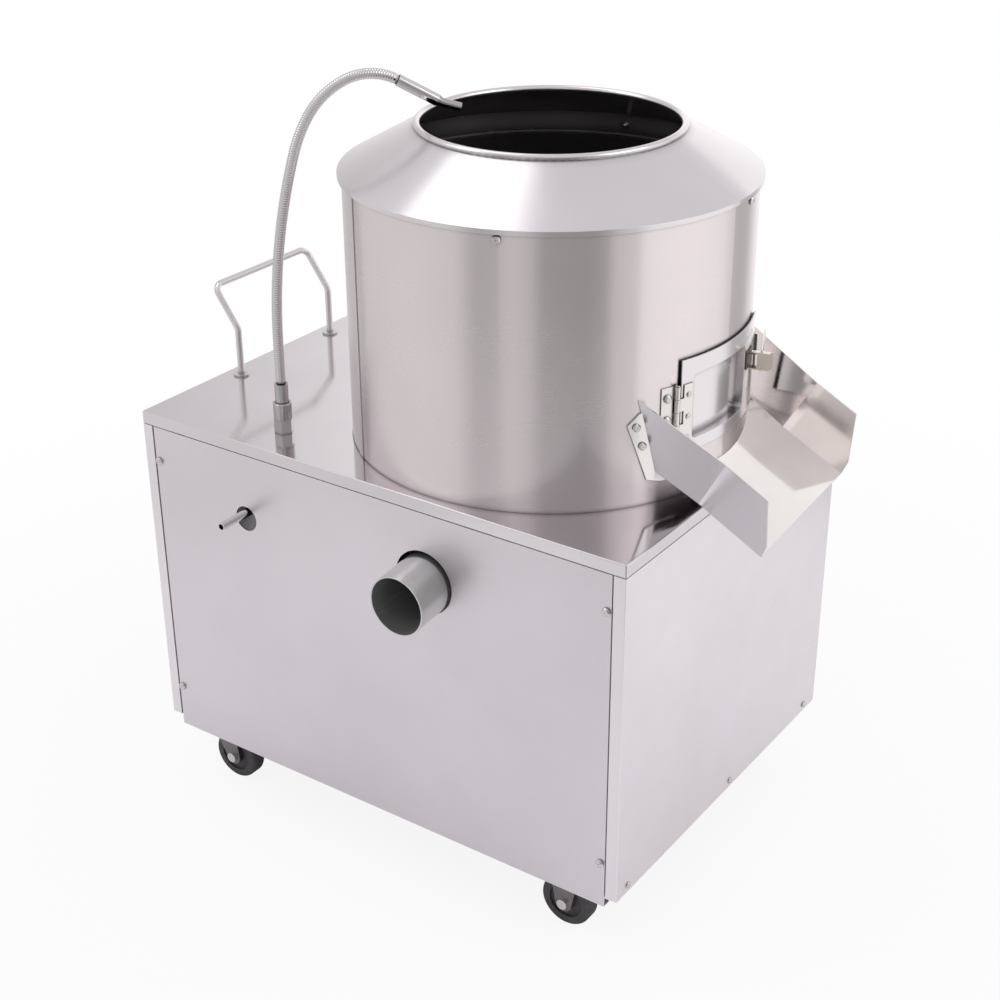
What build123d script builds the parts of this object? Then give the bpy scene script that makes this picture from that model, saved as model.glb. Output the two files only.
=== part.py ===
from build123d import *
import os
from math import cos, hypot, pi, radians, sin, sqrt, tan

os.makedirs("parts", exist_ok=True)

# Potato peeling machine: a sheet steel cabinet on casters carries an upright drum.
# Z is up from the floor, the front faces -Y, and the origin lies on the floor under
# the middle of the whole machine.

# Cabinet, driving dimensions in millimetres
cabinet_length = 670
cabinet_width = 490
deck = 513
caster_height = 90
front_panel_bottom = 76.5

# Sheet and clearances
skin_sheet = 1.5
skin_gap = 0.3
seat_gap = 0.2
safe_gap = 0.3
running_gap = 0.05
cut_overrun = 5

# Drum, placed from the middle of the cabinet
drum_from_right = 250
drum_forward = 7.5
drum_radius = 226
drum_sheet = 1.5
drum_rise = 308.5
drum_sink = 145
drum_floor_sheet = 3
lining_gap = 0.3
lining_wall = 9

# Discharge doorway and chute
doorway_start = -17.5
doorway_end = 12.5
doorway_bottom = 58
doorway_top = 143
chute_turn = 4
chute_slope = 30
chute_run = 92
chute_half_width = 112.5
chute_wing_height = 65
chute_wing_lean = 10.5
chute_front_top = 32
chute_sheet = 1.5

# Pipes and handle
pipe_reach = 49
handle_bar = 8
handle_overhang = 12
gland_reach = 20

# Places that follow from the driving dimensions
deck_under = deck - skin_sheet
half_length = cabinet_length / 2
half_width = cabinet_width / 2
drum_right = half_length - drum_from_right
chute_reach = drum_radius + chute_run
mouth_top_half = chute_half_width + chute_wing_height * tan(radians(chute_wing_lean))
reach_left = half_length + handle_overhang + handle_bar / 2
chute_top_reach = (
    chute_reach
    - chute_front_top * cos(radians(chute_slope))
    + chute_wing_height * sin(radians(chute_slope))
)
reach_right = (
    drum_right
    + chute_top_reach * cos(radians(chute_turn))
    + mouth_top_half * sin(radians(chute_turn))
    + chute_sheet
)
reach_front = half_width + pipe_reach
reach_back = half_width + gland_reach
cabinet_x = (reach_left - reach_right) / 2
cabinet_y = (reach_front - reach_back) / 2
drum_x = cabinet_x + drum_right
drum_y = cabinet_y - drum_forward


def level(x, y, z):
    """A level plane at a place measured from the cabinet's middle and the floor."""
    return Plane(origin=(cabinet_x + x, cabinet_y + y, z))


def facing_front(x, y, z):
    """An upright plane that looks out of the front, with x to the right and y up."""
    return Plane(origin=(cabinet_x + x, cabinet_y + y, z), x_dir=(1, 0, 0), z_dir=(0, -1, 0))


def facing_back(x, y, z):
    """An upright plane that looks out of the back."""
    return Plane(origin=(cabinet_x + x, cabinet_y + y, z), x_dir=(-1, 0, 0), z_dir=(0, 1, 0))


def facing_left(x, y, z):
    """An upright plane that looks out of the left side."""
    return Plane(origin=(cabinet_x + x, cabinet_y + y, z), x_dir=(0, -1, 0), z_dir=(-1, 0, 0))


def drum_level(z, turn=0):
    """A level plane on the drum's axis, turned about it."""
    across = (cos(radians(turn)), sin(radians(turn)), 0)
    return Plane(origin=(drum_x, drum_y, z), x_dir=across, z_dir=(0, 0, 1))


def drum_wall(angle, radius, z):
    """An upright plane that looks outward from the drum's axis, with y up."""
    outward = Vector(cos(radians(angle)), sin(radians(angle)), 0)
    along = Vector(-outward.Y, outward.X, 0)
    foot = Vector(drum_x, drum_y, z) + outward * radius
    return Plane(origin=foot, x_dir=along, z_dir=outward)


def polar(radius, angle):
    """A point in a level sketch from its radius and angle."""
    return (radius * cos(radians(angle)), radius * sin(radians(angle)))


def sector(inner, outer, start, end):
    """Draw a stretch of ring between two angles."""
    middle = (start + end) / 2
    with BuildLine() as outline:
        ThreePointArc(polar(outer, start), polar(outer, middle), polar(outer, end))
        Line(polar(outer, end), polar(inner, end))
        ThreePointArc(polar(inner, end), polar(inner, middle), polar(inner, start))
        Line(polar(inner, start), polar(outer, start))
    make_face(outline.edges())


def ring(outer, inner):
    """Draw a round ring."""
    Circle(outer)
    Circle(inner, mode=Mode.SUBTRACT)


def dome_screw(plane, head_radius, head_height, shank_radius, shank_length):
    """A round-head screw seated on the plane, with its shank through the sheet."""
    with BuildPart() as screw:
        with BuildSketch(plane.offset(-shank_length)):
            Circle(shank_radius)
        extrude(amount=shank_length + seat_gap)
        with BuildSketch(plane.offset(seat_gap)):
            Circle(head_radius)
        extrude(amount=head_height / 2)
        with BuildSketch(plane.offset(seat_gap + head_height / 2)):
            Circle(head_radius)
        extrude(amount=head_height / 2, taper=45)
    return screw.part


def dome_screws(name, planes, head_radius, head_height, shank_radius, shank_length):
    """A group of like round-head screws, one on each plane."""
    with BuildPart() as screws:
        for plane in planes:
            add(dome_screw(plane, head_radius, head_height, shank_radius, shank_length))
    screws.part.label = name
    export_step(screws.part, f"parts/{name}.step")


def pierce(planes, radius, depth):
    """Drill a straight hole through the sheet at each plane."""
    for plane in planes:
        with BuildSketch(plane.offset(cut_overrun)) as hole:
            Circle(radius)
        extrude(hole.sketch, amount=-cut_overrun - depth, mode=Mode.SUBTRACT)


# Screw sizes that several sheets share
screw_head = 5
screw_head_height = 3.2
screw_shank = 2.4
screw_hole = 2.55
screw_length = 9
rivet_head = 4
rivet_head_height = 1.6
rivet_shank = 1.9
rivet_hole = 2
rivet_length = 5

# Welded angle frame
frame_angle = 30
frame_wall = 3
top_rail = 20
pulley_depth = 190
pulley_plate_gap = 7
motor_plate_thickness = 6
pad_length = 74
pad_width = 74
pad_thickness = 4
frame_half_length = half_length - skin_sheet - skin_gap
frame_half_width = half_width - skin_sheet - skin_gap
frame_top = deck_under - skin_gap
pulley_level = deck - pulley_depth
mid_rail_height = pulley_level - pulley_plate_gap - motor_plate_thickness - frame_angle

# Caster places, from the cabinet's middle
caster_from_front = 40
fixed_caster_inset = 85
swivel_caster_inset = 58
swivel_trail = 17
caster_y = half_width - caster_from_front
fixed_caster_x = half_length - fixed_caster_inset
swivel_axis_x = -half_length + swivel_caster_inset
caster_bolt_pitch = 44
caster_bolt = 3
caster_hole = 3.2

pad_centres = [
    (fixed_caster_x, -caster_y),
    (fixed_caster_x, caster_y),
    (swivel_axis_x, -caster_y),
    (swivel_axis_x, caster_y),
]

# Screw and rivet places on the skin
panel_screw_inset = 22
top_screw_depth = 60
low_screw_height = 135
rivet_front_inset = 24
rivet_middle = 15
rivet_back_inset = 31
rivet_rise = 9
front_screw_x = half_length - panel_screw_inset
top_screw_level = deck - top_screw_depth
front_screw_levels = (top_screw_level, low_screw_height)
rear_screw_levels = (top_screw_level, (top_screw_level + low_screw_height) / 2, low_screw_height)
side_rivet_places = (-half_width + rivet_front_inset, rivet_middle, half_width - rivet_back_inset)
side_rivet_level = caster_height + rivet_rise

front_screw_planes = [
    facing_front(x, -half_width, z)
    for x in (-front_screw_x, front_screw_x)
    for z in front_screw_levels
]
rear_screw_planes = [
    facing_back(x, half_width, z)
    for x in (-front_screw_x, front_screw_x)
    for z in rear_screw_levels
]


def facing_side(side, y, z):
    """An upright plane that looks out of the left (-1) or the right (1) side."""
    place = (cabinet_x + side * half_length, cabinet_y + y, z)
    return Plane(origin=place, x_dir=(0, side, 0), z_dir=(side, 0, 0))


side_rivet_planes = [
    facing_side(side, y, side_rivet_level) for side in (-1, 1) for y in side_rivet_places
]

with BuildPart() as frame:
    # The bottom ring is angle iron with one leg flat and one upright
    with BuildSketch(level(0, 0, caster_height)):
        Rectangle(2 * frame_half_length, 2 * frame_half_width)
        Rectangle(
            2 * (frame_half_length - frame_angle),
            2 * (frame_half_width - frame_angle),
            mode=Mode.SUBTRACT,
        )
    extrude(amount=frame_wall)
    with BuildSketch(level(0, 0, caster_height)):
        Rectangle(2 * frame_half_length, 2 * frame_half_width)
        Rectangle(
            2 * (frame_half_length - frame_wall),
            2 * (frame_half_width - frame_wall),
            mode=Mode.SUBTRACT,
        )
    extrude(amount=frame_angle)
    # Four corner posts of the same angle
    with BuildSketch(level(0, 0, caster_height)):
        for side in (-1, 1):
            for end in (-1, 1):
                corner = (side * frame_half_length, end * frame_half_width)
                inward = frame_angle / 2
                with Locations((corner[0] - side * inward, corner[1] - end * inward)):
                    Rectangle(frame_angle, frame_angle)
                core = (frame_angle + frame_wall) / 2
                with Locations((corner[0] - side * core, corner[1] - end * core)):
                    Rectangle(frame_angle - frame_wall, frame_angle - frame_wall, mode=Mode.SUBTRACT)
    extrude(amount=frame_top - caster_height)
    # Rails across the middle carry the motor plate
    for end in (-1, 1):
        rail_y = end * (frame_half_width - frame_angle / 2)
        with BuildSketch(level(0, rail_y, mid_rail_height + frame_angle - frame_wall)):
            Rectangle(2 * frame_half_length, frame_angle)
        extrude(amount=frame_wall)
        web_y = end * (frame_half_width - frame_wall / 2)
        with BuildSketch(level(0, web_y, mid_rail_height)):
            Rectangle(2 * frame_half_length, frame_wall)
        extrude(amount=frame_angle)
    # Top rails at both sides and at the back
    for side in (-1, 1):
        with BuildSketch(level(side * (frame_half_length - top_rail / 2), 0, frame_top - frame_wall)):
            Rectangle(top_rail, 2 * frame_half_width)
        extrude(amount=frame_wall)
        with BuildSketch(level(side * (frame_half_length - frame_wall / 2), 0, frame_top - top_rail)):
            Rectangle(frame_wall, 2 * frame_half_width)
        extrude(amount=top_rail)
    with BuildSketch(level(0, frame_half_width - top_rail / 2, frame_top - frame_wall)):
        Rectangle(2 * frame_half_length, top_rail)
    extrude(amount=frame_wall)
    with BuildSketch(level(0, frame_half_width - frame_wall / 2, frame_top - top_rail)):
        Rectangle(2 * frame_half_length, frame_wall)
    extrude(amount=top_rail)
    # Pads for the casters, with their bolt holes
    for x, y in pad_centres:
        end = 1 if y > 0 else -1
        with BuildSketch(level(x, end * (frame_half_width - pad_width / 2), caster_height)):
            Rectangle(pad_length, pad_width)
        extrude(amount=pad_thickness)
    for x, y in pad_centres:
        with BuildSketch(level(x, y, caster_height - cut_overrun)):
            with GridLocations(caster_bolt_pitch, caster_bolt_pitch, 2, 2):
                Circle(caster_hole)
        extrude(amount=pad_thickness + 2 * cut_overrun, mode=Mode.SUBTRACT)
    # Holes where the skin is screwed and riveted on
    pierce(front_screw_planes, screw_hole, screw_length)
    pierce(rear_screw_planes, screw_hole, screw_length)
    pierce(side_rivet_planes, rivet_hole, rivet_length)
frame.part.label = "frame"
export_step(frame.part, "parts/frame.step")

# Cabinet skin: a deck with its edges folded down, and four panels under it
deck_fold = 15
deck_fold_gap = 1
panel_top = deck - deck_fold - deck_fold_gap
panel_fold = 14.5
panel_edge_gap = 1.5
front_panel_slip = 1
deck_corner = 2
deck_bend = 1.4
panel_bend = 1.2
drum_hole_gap = 0.3
front_hem = 12
front_half = half_length - panel_fold - panel_edge_gap
handle_inset = 22.5
handle_front = -95.5
handle_back = 75
gooseneck_from_drum = 241.8
gooseneck_from_front = 51.3
handle_foot_x = -half_length + handle_inset
gooseneck_x = drum_right - gooseneck_from_drum
gooseneck_y = -half_width + gooseneck_from_front
gooseneck_shank = 7
gooseneck_hole = 7.5
inlet_inset = 158
inlet_depth = 90
inlet_hole_left = 1.2
inlet_hole_drop = 8
inlet_hole = 15.5
inlet_x = -half_length + inlet_inset
inlet_level = deck - inlet_depth
drain_left = 5
drain_depth = 102.5
drain_hole_rise = 2
drain_hole = 38
drain_x = drum_right - drain_left
drain_level = deck - drain_depth
switch_from_front = 105
switch_depth = 90
switch_y = -half_width + switch_from_front
switch_level = deck - switch_depth
switch_plate_width = 64
switch_plate_height = 104
switch_opening_margin = 8
gland_inset = 80
gland_level = 150
gland_x = half_length - gland_inset
gland_hole = 10.2
vent_length = 60
vent_width = 3.5
vent_pitch = 12
vent_rows = 12
vent_inset = 145
vent_level = 245
vent_x = -half_length + vent_inset

with BuildPart() as top_plate:
    with BuildSketch(level(0, 0, deck - deck_fold)):
        RectangleRounded(cabinet_length, cabinet_width, deck_corner)
    extrude(amount=deck_fold)
    fillet(top_plate.edges().group_by(Axis.Z)[-1], deck_bend)
    with BuildSketch(level(0, 0, deck - deck_fold)):
        RectangleRounded(
            cabinet_length - 2 * skin_sheet, cabinet_width - 2 * skin_sheet, deck_corner - skin_sheet
        )
    extrude(amount=deck_fold - skin_sheet, mode=Mode.SUBTRACT)
    with BuildSketch(drum_level(deck_under - cut_overrun)):
        Circle(drum_radius + drum_hole_gap)
    extrude(amount=skin_sheet + 2 * cut_overrun, mode=Mode.SUBTRACT)
    with BuildSketch(level(gooseneck_x, gooseneck_y, deck_under - cut_overrun)):
        Circle(gooseneck_hole)
    extrude(amount=skin_sheet + 2 * cut_overrun, mode=Mode.SUBTRACT)
top_plate.part.label = "top_plate"
export_step(top_plate.part, "parts/top_plate.step")

with BuildPart() as front_panel:
    with BuildSketch(facing_front(0, -half_width + skin_sheet, front_panel_bottom)):
        with Locations((front_panel_slip / 2, (panel_top - front_panel_bottom) / 2)):
            Rectangle(2 * front_half - front_panel_slip, panel_top - front_panel_bottom)
    extrude(amount=skin_sheet)
    hem_middle = -half_width + front_hem / 2
    with BuildSketch(level(front_panel_slip / 2, hem_middle, front_panel_bottom)):
        Rectangle(2 * front_half - front_panel_slip, front_hem)
    extrude(amount=skin_sheet)
    fillet(front_panel.edges().filter_by(Axis.X).group_by(Axis.Z)[0].group_by(Axis.Y)[0], panel_bend)
    with BuildSketch(facing_front(0, -half_width + skin_sheet + cut_overrun, 0)):
        with Locations((inlet_x - inlet_hole_left, inlet_level - inlet_hole_drop)):
            Circle(inlet_hole)
        with Locations((drain_x, drain_level + drain_hole_rise)):
            Circle(drain_hole)
    extrude(amount=skin_sheet + 2 * cut_overrun, mode=Mode.SUBTRACT)
    pierce(front_screw_planes, screw_hole, screw_length)
front_panel.part.label = "front_panel"
export_step(front_panel.part, "parts/front_panel.step")

with BuildPart() as rear_panel:
    with BuildSketch(facing_back(0, half_width - skin_sheet, caster_height)):
        with Locations((0, (panel_top - caster_height) / 2)):
            Rectangle(2 * front_half, panel_top - caster_height)
    extrude(amount=skin_sheet)
    # Vent slots beside the motor, and the hole for the lead's gland
    with BuildSketch(facing_back(0, half_width - skin_sheet - cut_overrun, 0)):
        with Locations((-vent_x, vent_level)):
            with GridLocations(vent_pitch, vent_pitch, 1, vent_rows):
                SlotOverall(vent_length, vent_width)
        with Locations((-gland_x, gland_level)):
            Circle(gland_hole)
    extrude(amount=skin_sheet + 2 * cut_overrun, mode=Mode.SUBTRACT)
    pierce(rear_screw_planes, screw_hole, screw_length)
rear_panel.part.label = "rear_panel"
export_step(rear_panel.part, "parts/rear_panel.step")


def side_sheet(side):
    """Draw a side panel in plan: a long sheet with a narrow fold at each end."""
    with Locations((side * (half_length - skin_sheet / 2), 0)):
        Rectangle(skin_sheet, cabinet_width)
    for end in (-1, 1):
        fold_place = (side * (half_length - panel_fold / 2), end * (half_width - skin_sheet / 2))
        with Locations(fold_place):
            Rectangle(panel_fold, skin_sheet)


with BuildPart() as right_panel:
    with BuildSketch(level(0, 0, caster_height)):
        side_sheet(1)
    extrude(amount=panel_top - caster_height)
    fillet(right_panel.edges().filter_by(Axis.Z).group_by(Axis.X)[-1], panel_bend)
    pierce(side_rivet_planes, rivet_hole, rivet_length)
right_panel.part.label = "right_panel"
export_step(right_panel.part, "parts/right_panel.step")

with BuildPart() as left_panel:
    with BuildSketch(level(0, 0, caster_height)):
        side_sheet(-1)
    extrude(amount=panel_top - caster_height)
    fillet(left_panel.edges().filter_by(Axis.Z).group_by(Axis.X)[0], panel_bend)
    pierce(side_rivet_planes, rivet_hole, rivet_length)
    with BuildSketch(facing_left(-half_length + cut_overrun, switch_y, switch_level)):
        Rectangle(
            switch_plate_width - 2 * switch_opening_margin,
            switch_plate_height - 2 * switch_opening_margin,
        )
    extrude(amount=2 * cut_overrun, mode=Mode.SUBTRACT)
left_panel.part.label = "left_panel"
export_step(left_panel.part, "parts/left_panel.step")

panel_fastener_sets = (
    (front_screw_planes + rear_screw_planes, screw_head, screw_head_height, screw_shank, screw_length),
    (side_rivet_planes, rivet_head, rivet_head_height, rivet_shank, rivet_length),
)
with BuildPart() as panel_fasteners:
    for planes, head_radius, head_height, shank_radius, shank_length in panel_fastener_sets:
        for plane in planes:
            add(dome_screw(plane, head_radius, head_height, shank_radius, shank_length))
panel_fasteners.part.label = "panel_fasteners"
export_step(panel_fasteners.part, "parts/panel_fasteners.step")

# Drum: an upright shell with a floor, a weld bead under the deck and a doorway
drum_top = deck + drum_rise
drum_bottom = deck - drum_sink
drum_inner = drum_radius - drum_sheet
weld_bead = 2
seam_angle = -123.5
seam_width = 12
seam_thickness = 0.8
drain_slope = 6
drain_radius = 35
drain_wall = 1.5
housing_tube = 32
housing_tube_wall = 5
housing_flange = 60
housing_flange_thickness = 6
housing_bolts = 4
housing_bolt_circle = 50
housing_bolt = 4
housing_bolt_hole = 4.2

# Hood over the drum: a short skirt, a cone and a rolled wire edge
hood_overhang = 4.5
hood_rim_drop = 0.5
hood_lip_drop = 5.5
hood_sheet = 1.5
hood_mouth_share = 0.636
hood_bead = 4
hood_rise = 47.5
hood_skirt_drop = 20.5
hood_screw_drop = 11.5
hood_screw_angles = (-70, 10, 100, 190)
hood_widest = drum_radius + hood_overhang
hood_bead_circle = drum_radius * hood_mouth_share
hood_widest_level = drum_top - hood_rim_drop
hood_lip_level = drum_top - hood_lip_drop
hood_bead_level = drum_top + hood_rise
hood_skirt_level = drum_top - hood_skirt_drop
hood_screw_level = drum_top - hood_screw_drop
hood_skirt_radius = drum_inner - safe_gap

# Discharge door, hinge and latch: angles are measured about the drum's axis
door_start = -20.1
door_end = 23.5
door_lap_bottom = 8
door_lap_top = 13
door_sheet = 1.5
door_stand = 2.2
pan_start = -16
pan_end = 10.7
pan_gap = 4
pan_depth = 7
pan_corner = 7
gasket_gap = 0.3
hinge_angle = -21.3
hinge_rise = 6
hinge_length = 73
hinge_barrel = 3.2
hinge_pin_radius = 1.5
hinge_axis_stand = 3.5
hinge_leaf = 1.2
hinge_knuckles = 5
hinge_knuckle_gap = 0.4
drum_leaf_start = -26
drum_leaf_end = -22.3
door_leaf_start = -19.3
door_leaf_end = -16.2
leaf_overlap_turn = 0.2
hinge_screw_inset = 12
keeper_start = 24.8
keeper_end = 28.6
keeper_screw_angle = 27.7
keeper_screw_rise = 8
latch_below_top = 40.5
door_bottom = deck + doorway_bottom - door_lap_bottom
door_top = deck + doorway_top + door_lap_top
door_radius = drum_radius + door_stand
pan_bottom = deck + doorway_bottom + pan_gap
pan_top = deck + doorway_top - pan_gap
pan_radius = drum_radius - pan_depth
hinge_bottom = door_bottom + hinge_rise
hinge_top = hinge_bottom + hinge_length
hinge_axis_radius = drum_radius + hinge_axis_stand
latch_level = door_top - latch_below_top

hood_screw_planes = [drum_wall(a, drum_radius, hood_screw_level) for a in hood_screw_angles]
hinge_screw_levels = (
    hinge_bottom + hinge_screw_inset,
    (hinge_bottom + hinge_top) / 2,
    hinge_top - hinge_screw_inset,
)
drum_leaf_outer = drum_radius + seat_gap + hinge_leaf
drum_leaf_screw_angle = (drum_leaf_start + drum_leaf_end) / 2
drum_leaf_screw_planes = [
    drum_wall(drum_leaf_screw_angle, drum_leaf_outer, z) for z in hinge_screw_levels
]
door_outer = door_radius + door_sheet
door_leaf_outer = door_outer + seat_gap + hinge_leaf
door_leaf_screw_angle = (door_leaf_start + door_leaf_end) / 2
door_leaf_screw_planes = [
    drum_wall(door_leaf_screw_angle, door_leaf_outer, z) for z in hinge_screw_levels
]
flange_sheet_outer = drum_radius + seat_gap + chute_sheet
flange_high_turn = 37.3
flange_high_rise = 92
flange_low_turn = 35.4
flange_low_rise = 70
chute_flange_screws = (
    (flange_high_turn, deck + flange_high_rise),
    (flange_low_turn, deck + flange_low_rise),
)
chute_screw_planes = [
    drum_wall(chute_turn + side * angle, flange_sheet_outer, z)
    for side in (-1, 1)
    for angle, z in chute_flange_screws
]
keeper_outer = drum_radius + seat_gap + hinge_leaf
keeper_screw_planes = [
    drum_wall(keeper_screw_angle, keeper_outer, latch_level + side * keeper_screw_rise)
    for side in (-1, 1)
]
drain_slope_down = radians(drain_slope)
drain_axis = Plane(
    origin=(cabinet_x + drain_x, cabinet_y - half_width, drain_level),
    x_dir=(1, 0, 0),
    z_dir=(0, -cos(drain_slope_down), -sin(drain_slope_down)),
)

with BuildPart() as drum_shell:
    with BuildSketch(drum_level(drum_bottom)):
        Circle(drum_radius)
    extrude(amount=drum_top - drum_bottom)
    with BuildSketch(drum_level(drum_bottom + drum_floor_sheet)):
        Circle(drum_inner)
    extrude(amount=drum_top - drum_bottom, mode=Mode.SUBTRACT)
    # The weld bead sits just under the deck
    with BuildSketch(drum_level(deck_under - seat_gap - drum_sheet)):
        ring(drum_radius + weld_bead, drum_inner)
    extrude(amount=drum_sheet)
    # A lap strip covers the drum's upright seam
    seam_half = (seam_width / 2 / drum_radius) * 180 / pi
    with BuildSketch(drum_level(deck + seat_gap)):
        sector(drum_inner, drum_radius + seam_thickness, seam_angle - seam_half, seam_angle + seam_half)
    extrude(amount=hood_lip_level - deck - 2 * safe_gap)
    # Doorway
    with BuildSketch(drum_level(deck + doorway_bottom)):
        sector(
            drum_inner - cut_overrun, drum_radius + cut_overrun, doorway_start, doorway_end
        )
    extrude(amount=doorway_top - doorway_bottom, mode=Mode.SUBTRACT)
    # Shaft hole and housing bolt holes in the floor
    with BuildSketch(drum_level(drum_bottom - cut_overrun)):
        Circle(housing_tube + safe_gap)
        with PolarLocations(housing_bolt_circle, housing_bolts):
            Circle(housing_bolt_hole)
    extrude(amount=drum_floor_sheet + 2 * cut_overrun, mode=Mode.SUBTRACT)
    # Drain opening low in the front of the wall
    with BuildSketch(drain_axis.offset(cut_overrun)):
        Circle(drain_radius + seat_gap)
    extrude(amount=-half_width / 2, mode=Mode.SUBTRACT)
    pierce(hood_screw_planes, screw_hole, screw_length)
    pierce(drum_leaf_screw_planes, screw_hole, screw_length)
    pierce(chute_screw_planes, screw_hole, screw_length)
    pierce(keeper_screw_planes, screw_hole, screw_length)
drum_shell.part.label = "drum_shell"
export_step(drum_shell.part, "parts/drum_shell.step")

# Abrasive lining inside the drum, from below the disc up to the hood's skirt
lining_outer = drum_inner - lining_gap
lining_inner = lining_outer - lining_wall
lining_skirt = 30
lining_top_gap = 3
lining_bottom = deck - lining_skirt
lining_top = hood_skirt_level - lining_top_gap

with BuildPart() as drum_lining:
    with BuildSketch(drum_level(lining_bottom)):
        ring(lining_outer, lining_inner)
    extrude(amount=lining_top - lining_bottom)
    with BuildSketch(drum_level(deck + doorway_bottom)):
        sector(
            lining_inner - cut_overrun, lining_outer + cut_overrun, doorway_start, doorway_end
        )
    extrude(amount=doorway_top - doorway_bottom, mode=Mode.SUBTRACT)
    # Room for the ends of the screws that come through the wall
    for plane in drum_leaf_screw_planes + chute_screw_planes + keeper_screw_planes:
        with BuildSketch(plane.offset(-(screw_length + safe_gap))):
            Circle(screw_hole)
        extrude(amount=screw_length, mode=Mode.SUBTRACT)
drum_lining.part.label = "drum_lining"
export_step(drum_lining.part, "parts/drum_lining.step")

with BuildPart() as hood:
    with BuildSketch(Plane(origin=(drum_x, drum_y, 0), x_dir=(1, 0, 0), z_dir=(0, -1, 0))):
        slope_run = hood_widest - hood_bead_circle
        slope_rise = hood_bead_level - hood_widest_level
        slope_length = hypot(slope_run, slope_rise)
        drop = hood_sheet * slope_length / slope_run
        inner_corner = hood_widest_level + hood_sheet * slope_rise / slope_run - drop
        with BuildLine():
            Polyline(
                (hood_bead_circle, hood_bead_level),
                (hood_widest, hood_widest_level),
                (hood_widest, hood_lip_level),
                (hood_widest - hood_sheet, hood_lip_level),
                (hood_widest - hood_sheet, inner_corner),
                (hood_bead_circle, hood_bead_level - drop),
                close=True,
            )
        make_face()
        skirt_top = hood_widest_level + (hood_widest - hood_skirt_radius) * slope_rise / slope_run
        with BuildLine():
            Polyline(
                (hood_skirt_radius, hood_skirt_level),
                (hood_skirt_radius, skirt_top - drop / 2),
                (hood_skirt_radius - hood_sheet, skirt_top - drop / 2),
                (hood_skirt_radius - hood_sheet, hood_skirt_level),
                close=True,
            )
        make_face()
        with Locations((hood_bead_circle, hood_bead_level)):
            Circle(hood_bead)
    revolve(axis=Axis((drum_x, drum_y, 0), (0, 0, 1)))
    pierce(hood_screw_planes, screw_hole, screw_length)
hood.part.label = "hood"
export_step(hood.part, "parts/hood.step")

wall_screw_head = 4.5
wall_screw_length = 8
dome_screws(
    "drum_screws",
    hood_screw_planes + drum_leaf_screw_planes + chute_screw_planes + keeper_screw_planes,
    wall_screw_head,
    screw_head_height,
    screw_shank,
    wall_screw_length,
)

# The door is a curved sheet with a pan pressed into the doorway
with BuildPart() as door:
    with BuildSketch(drum_level(pan_bottom)):
        sector(pan_radius, door_outer, pan_start, pan_end)
    extrude(amount=pan_top - pan_bottom)
    radial_edges = door.edges().filter_by(GeomType.LINE).filter_by(Axis.Z, reverse=True)
    fillet(radial_edges, pan_corner)
    with BuildSketch(drum_level(door_bottom)):
        sector(door_radius, door_outer, door_start, door_end)
    extrude(amount=door_top - door_bottom)
    pan_wall_turn = door_sheet / pan_radius * 180 / pi
with BuildPart() as door_pocket:
    with BuildSketch(drum_level(pan_bottom + door_sheet)):
        sector(
            pan_radius + door_sheet,
            door_outer + cut_overrun,
            pan_start + pan_wall_turn,
            pan_end - pan_wall_turn,
        )
    extrude(amount=pan_top - pan_bottom - 2 * door_sheet)
    radial_edges = door_pocket.edges().filter_by(GeomType.LINE).filter_by(Axis.Z, reverse=True)
    fillet(radial_edges, pan_corner - door_sheet)
with door:
    add(door_pocket.part, mode=Mode.SUBTRACT)
    pierce(door_leaf_screw_planes, screw_hole, screw_length)
door.part.label = "door"
export_step(door.part, "parts/door.step")

gasket_inset = 1
gasket_inset_turn = 0.4
gasket_clear = 0.35
gasket_clear_turn = 0.35
with BuildPart() as door_gasket:
    with BuildSketch(drum_level(door_bottom + gasket_inset)):
        sector(
            drum_radius + gasket_gap,
            door_radius - seat_gap / 2,
            door_start + gasket_inset_turn,
            door_end - gasket_inset_turn,
        )
    extrude(amount=door_top - door_bottom - 2 * gasket_inset)
    with BuildSketch(drum_level(pan_bottom - gasket_clear)):
        sector(
            drum_radius - cut_overrun,
            door_radius + cut_overrun,
            pan_start - gasket_clear_turn,
            pan_end + gasket_clear_turn,
        )
    extrude(amount=pan_top - pan_bottom + 2 * gasket_clear, mode=Mode.SUBTRACT)
    pierce(door_leaf_screw_planes, screw_hole, screw_length)
door_gasket.part.label = "door_gasket"
export_step(door_gasket.part, "parts/door_gasket.step")

# Strap hinge: five knuckles on one pin, three of them on the drum's leaf
hinge_axis = drum_wall(hinge_angle, hinge_axis_radius, 0).origin
knuckle_pitch = (hinge_top - hinge_bottom) / hinge_knuckles
knuckle_length = knuckle_pitch - hinge_knuckle_gap


def knuckle_level(index):
    """The level plane on the pin at the foot of one knuckle."""
    foot = hinge_bottom + index * knuckle_pitch + hinge_knuckle_gap / 2
    return Plane(origin=(hinge_axis.X, hinge_axis.Y, foot))


def leaf_plane(index):
    """The level plane on the drum's axis at the foot of one knuckle."""
    return drum_level(hinge_bottom + index * knuckle_pitch + hinge_knuckle_gap / 2)


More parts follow.
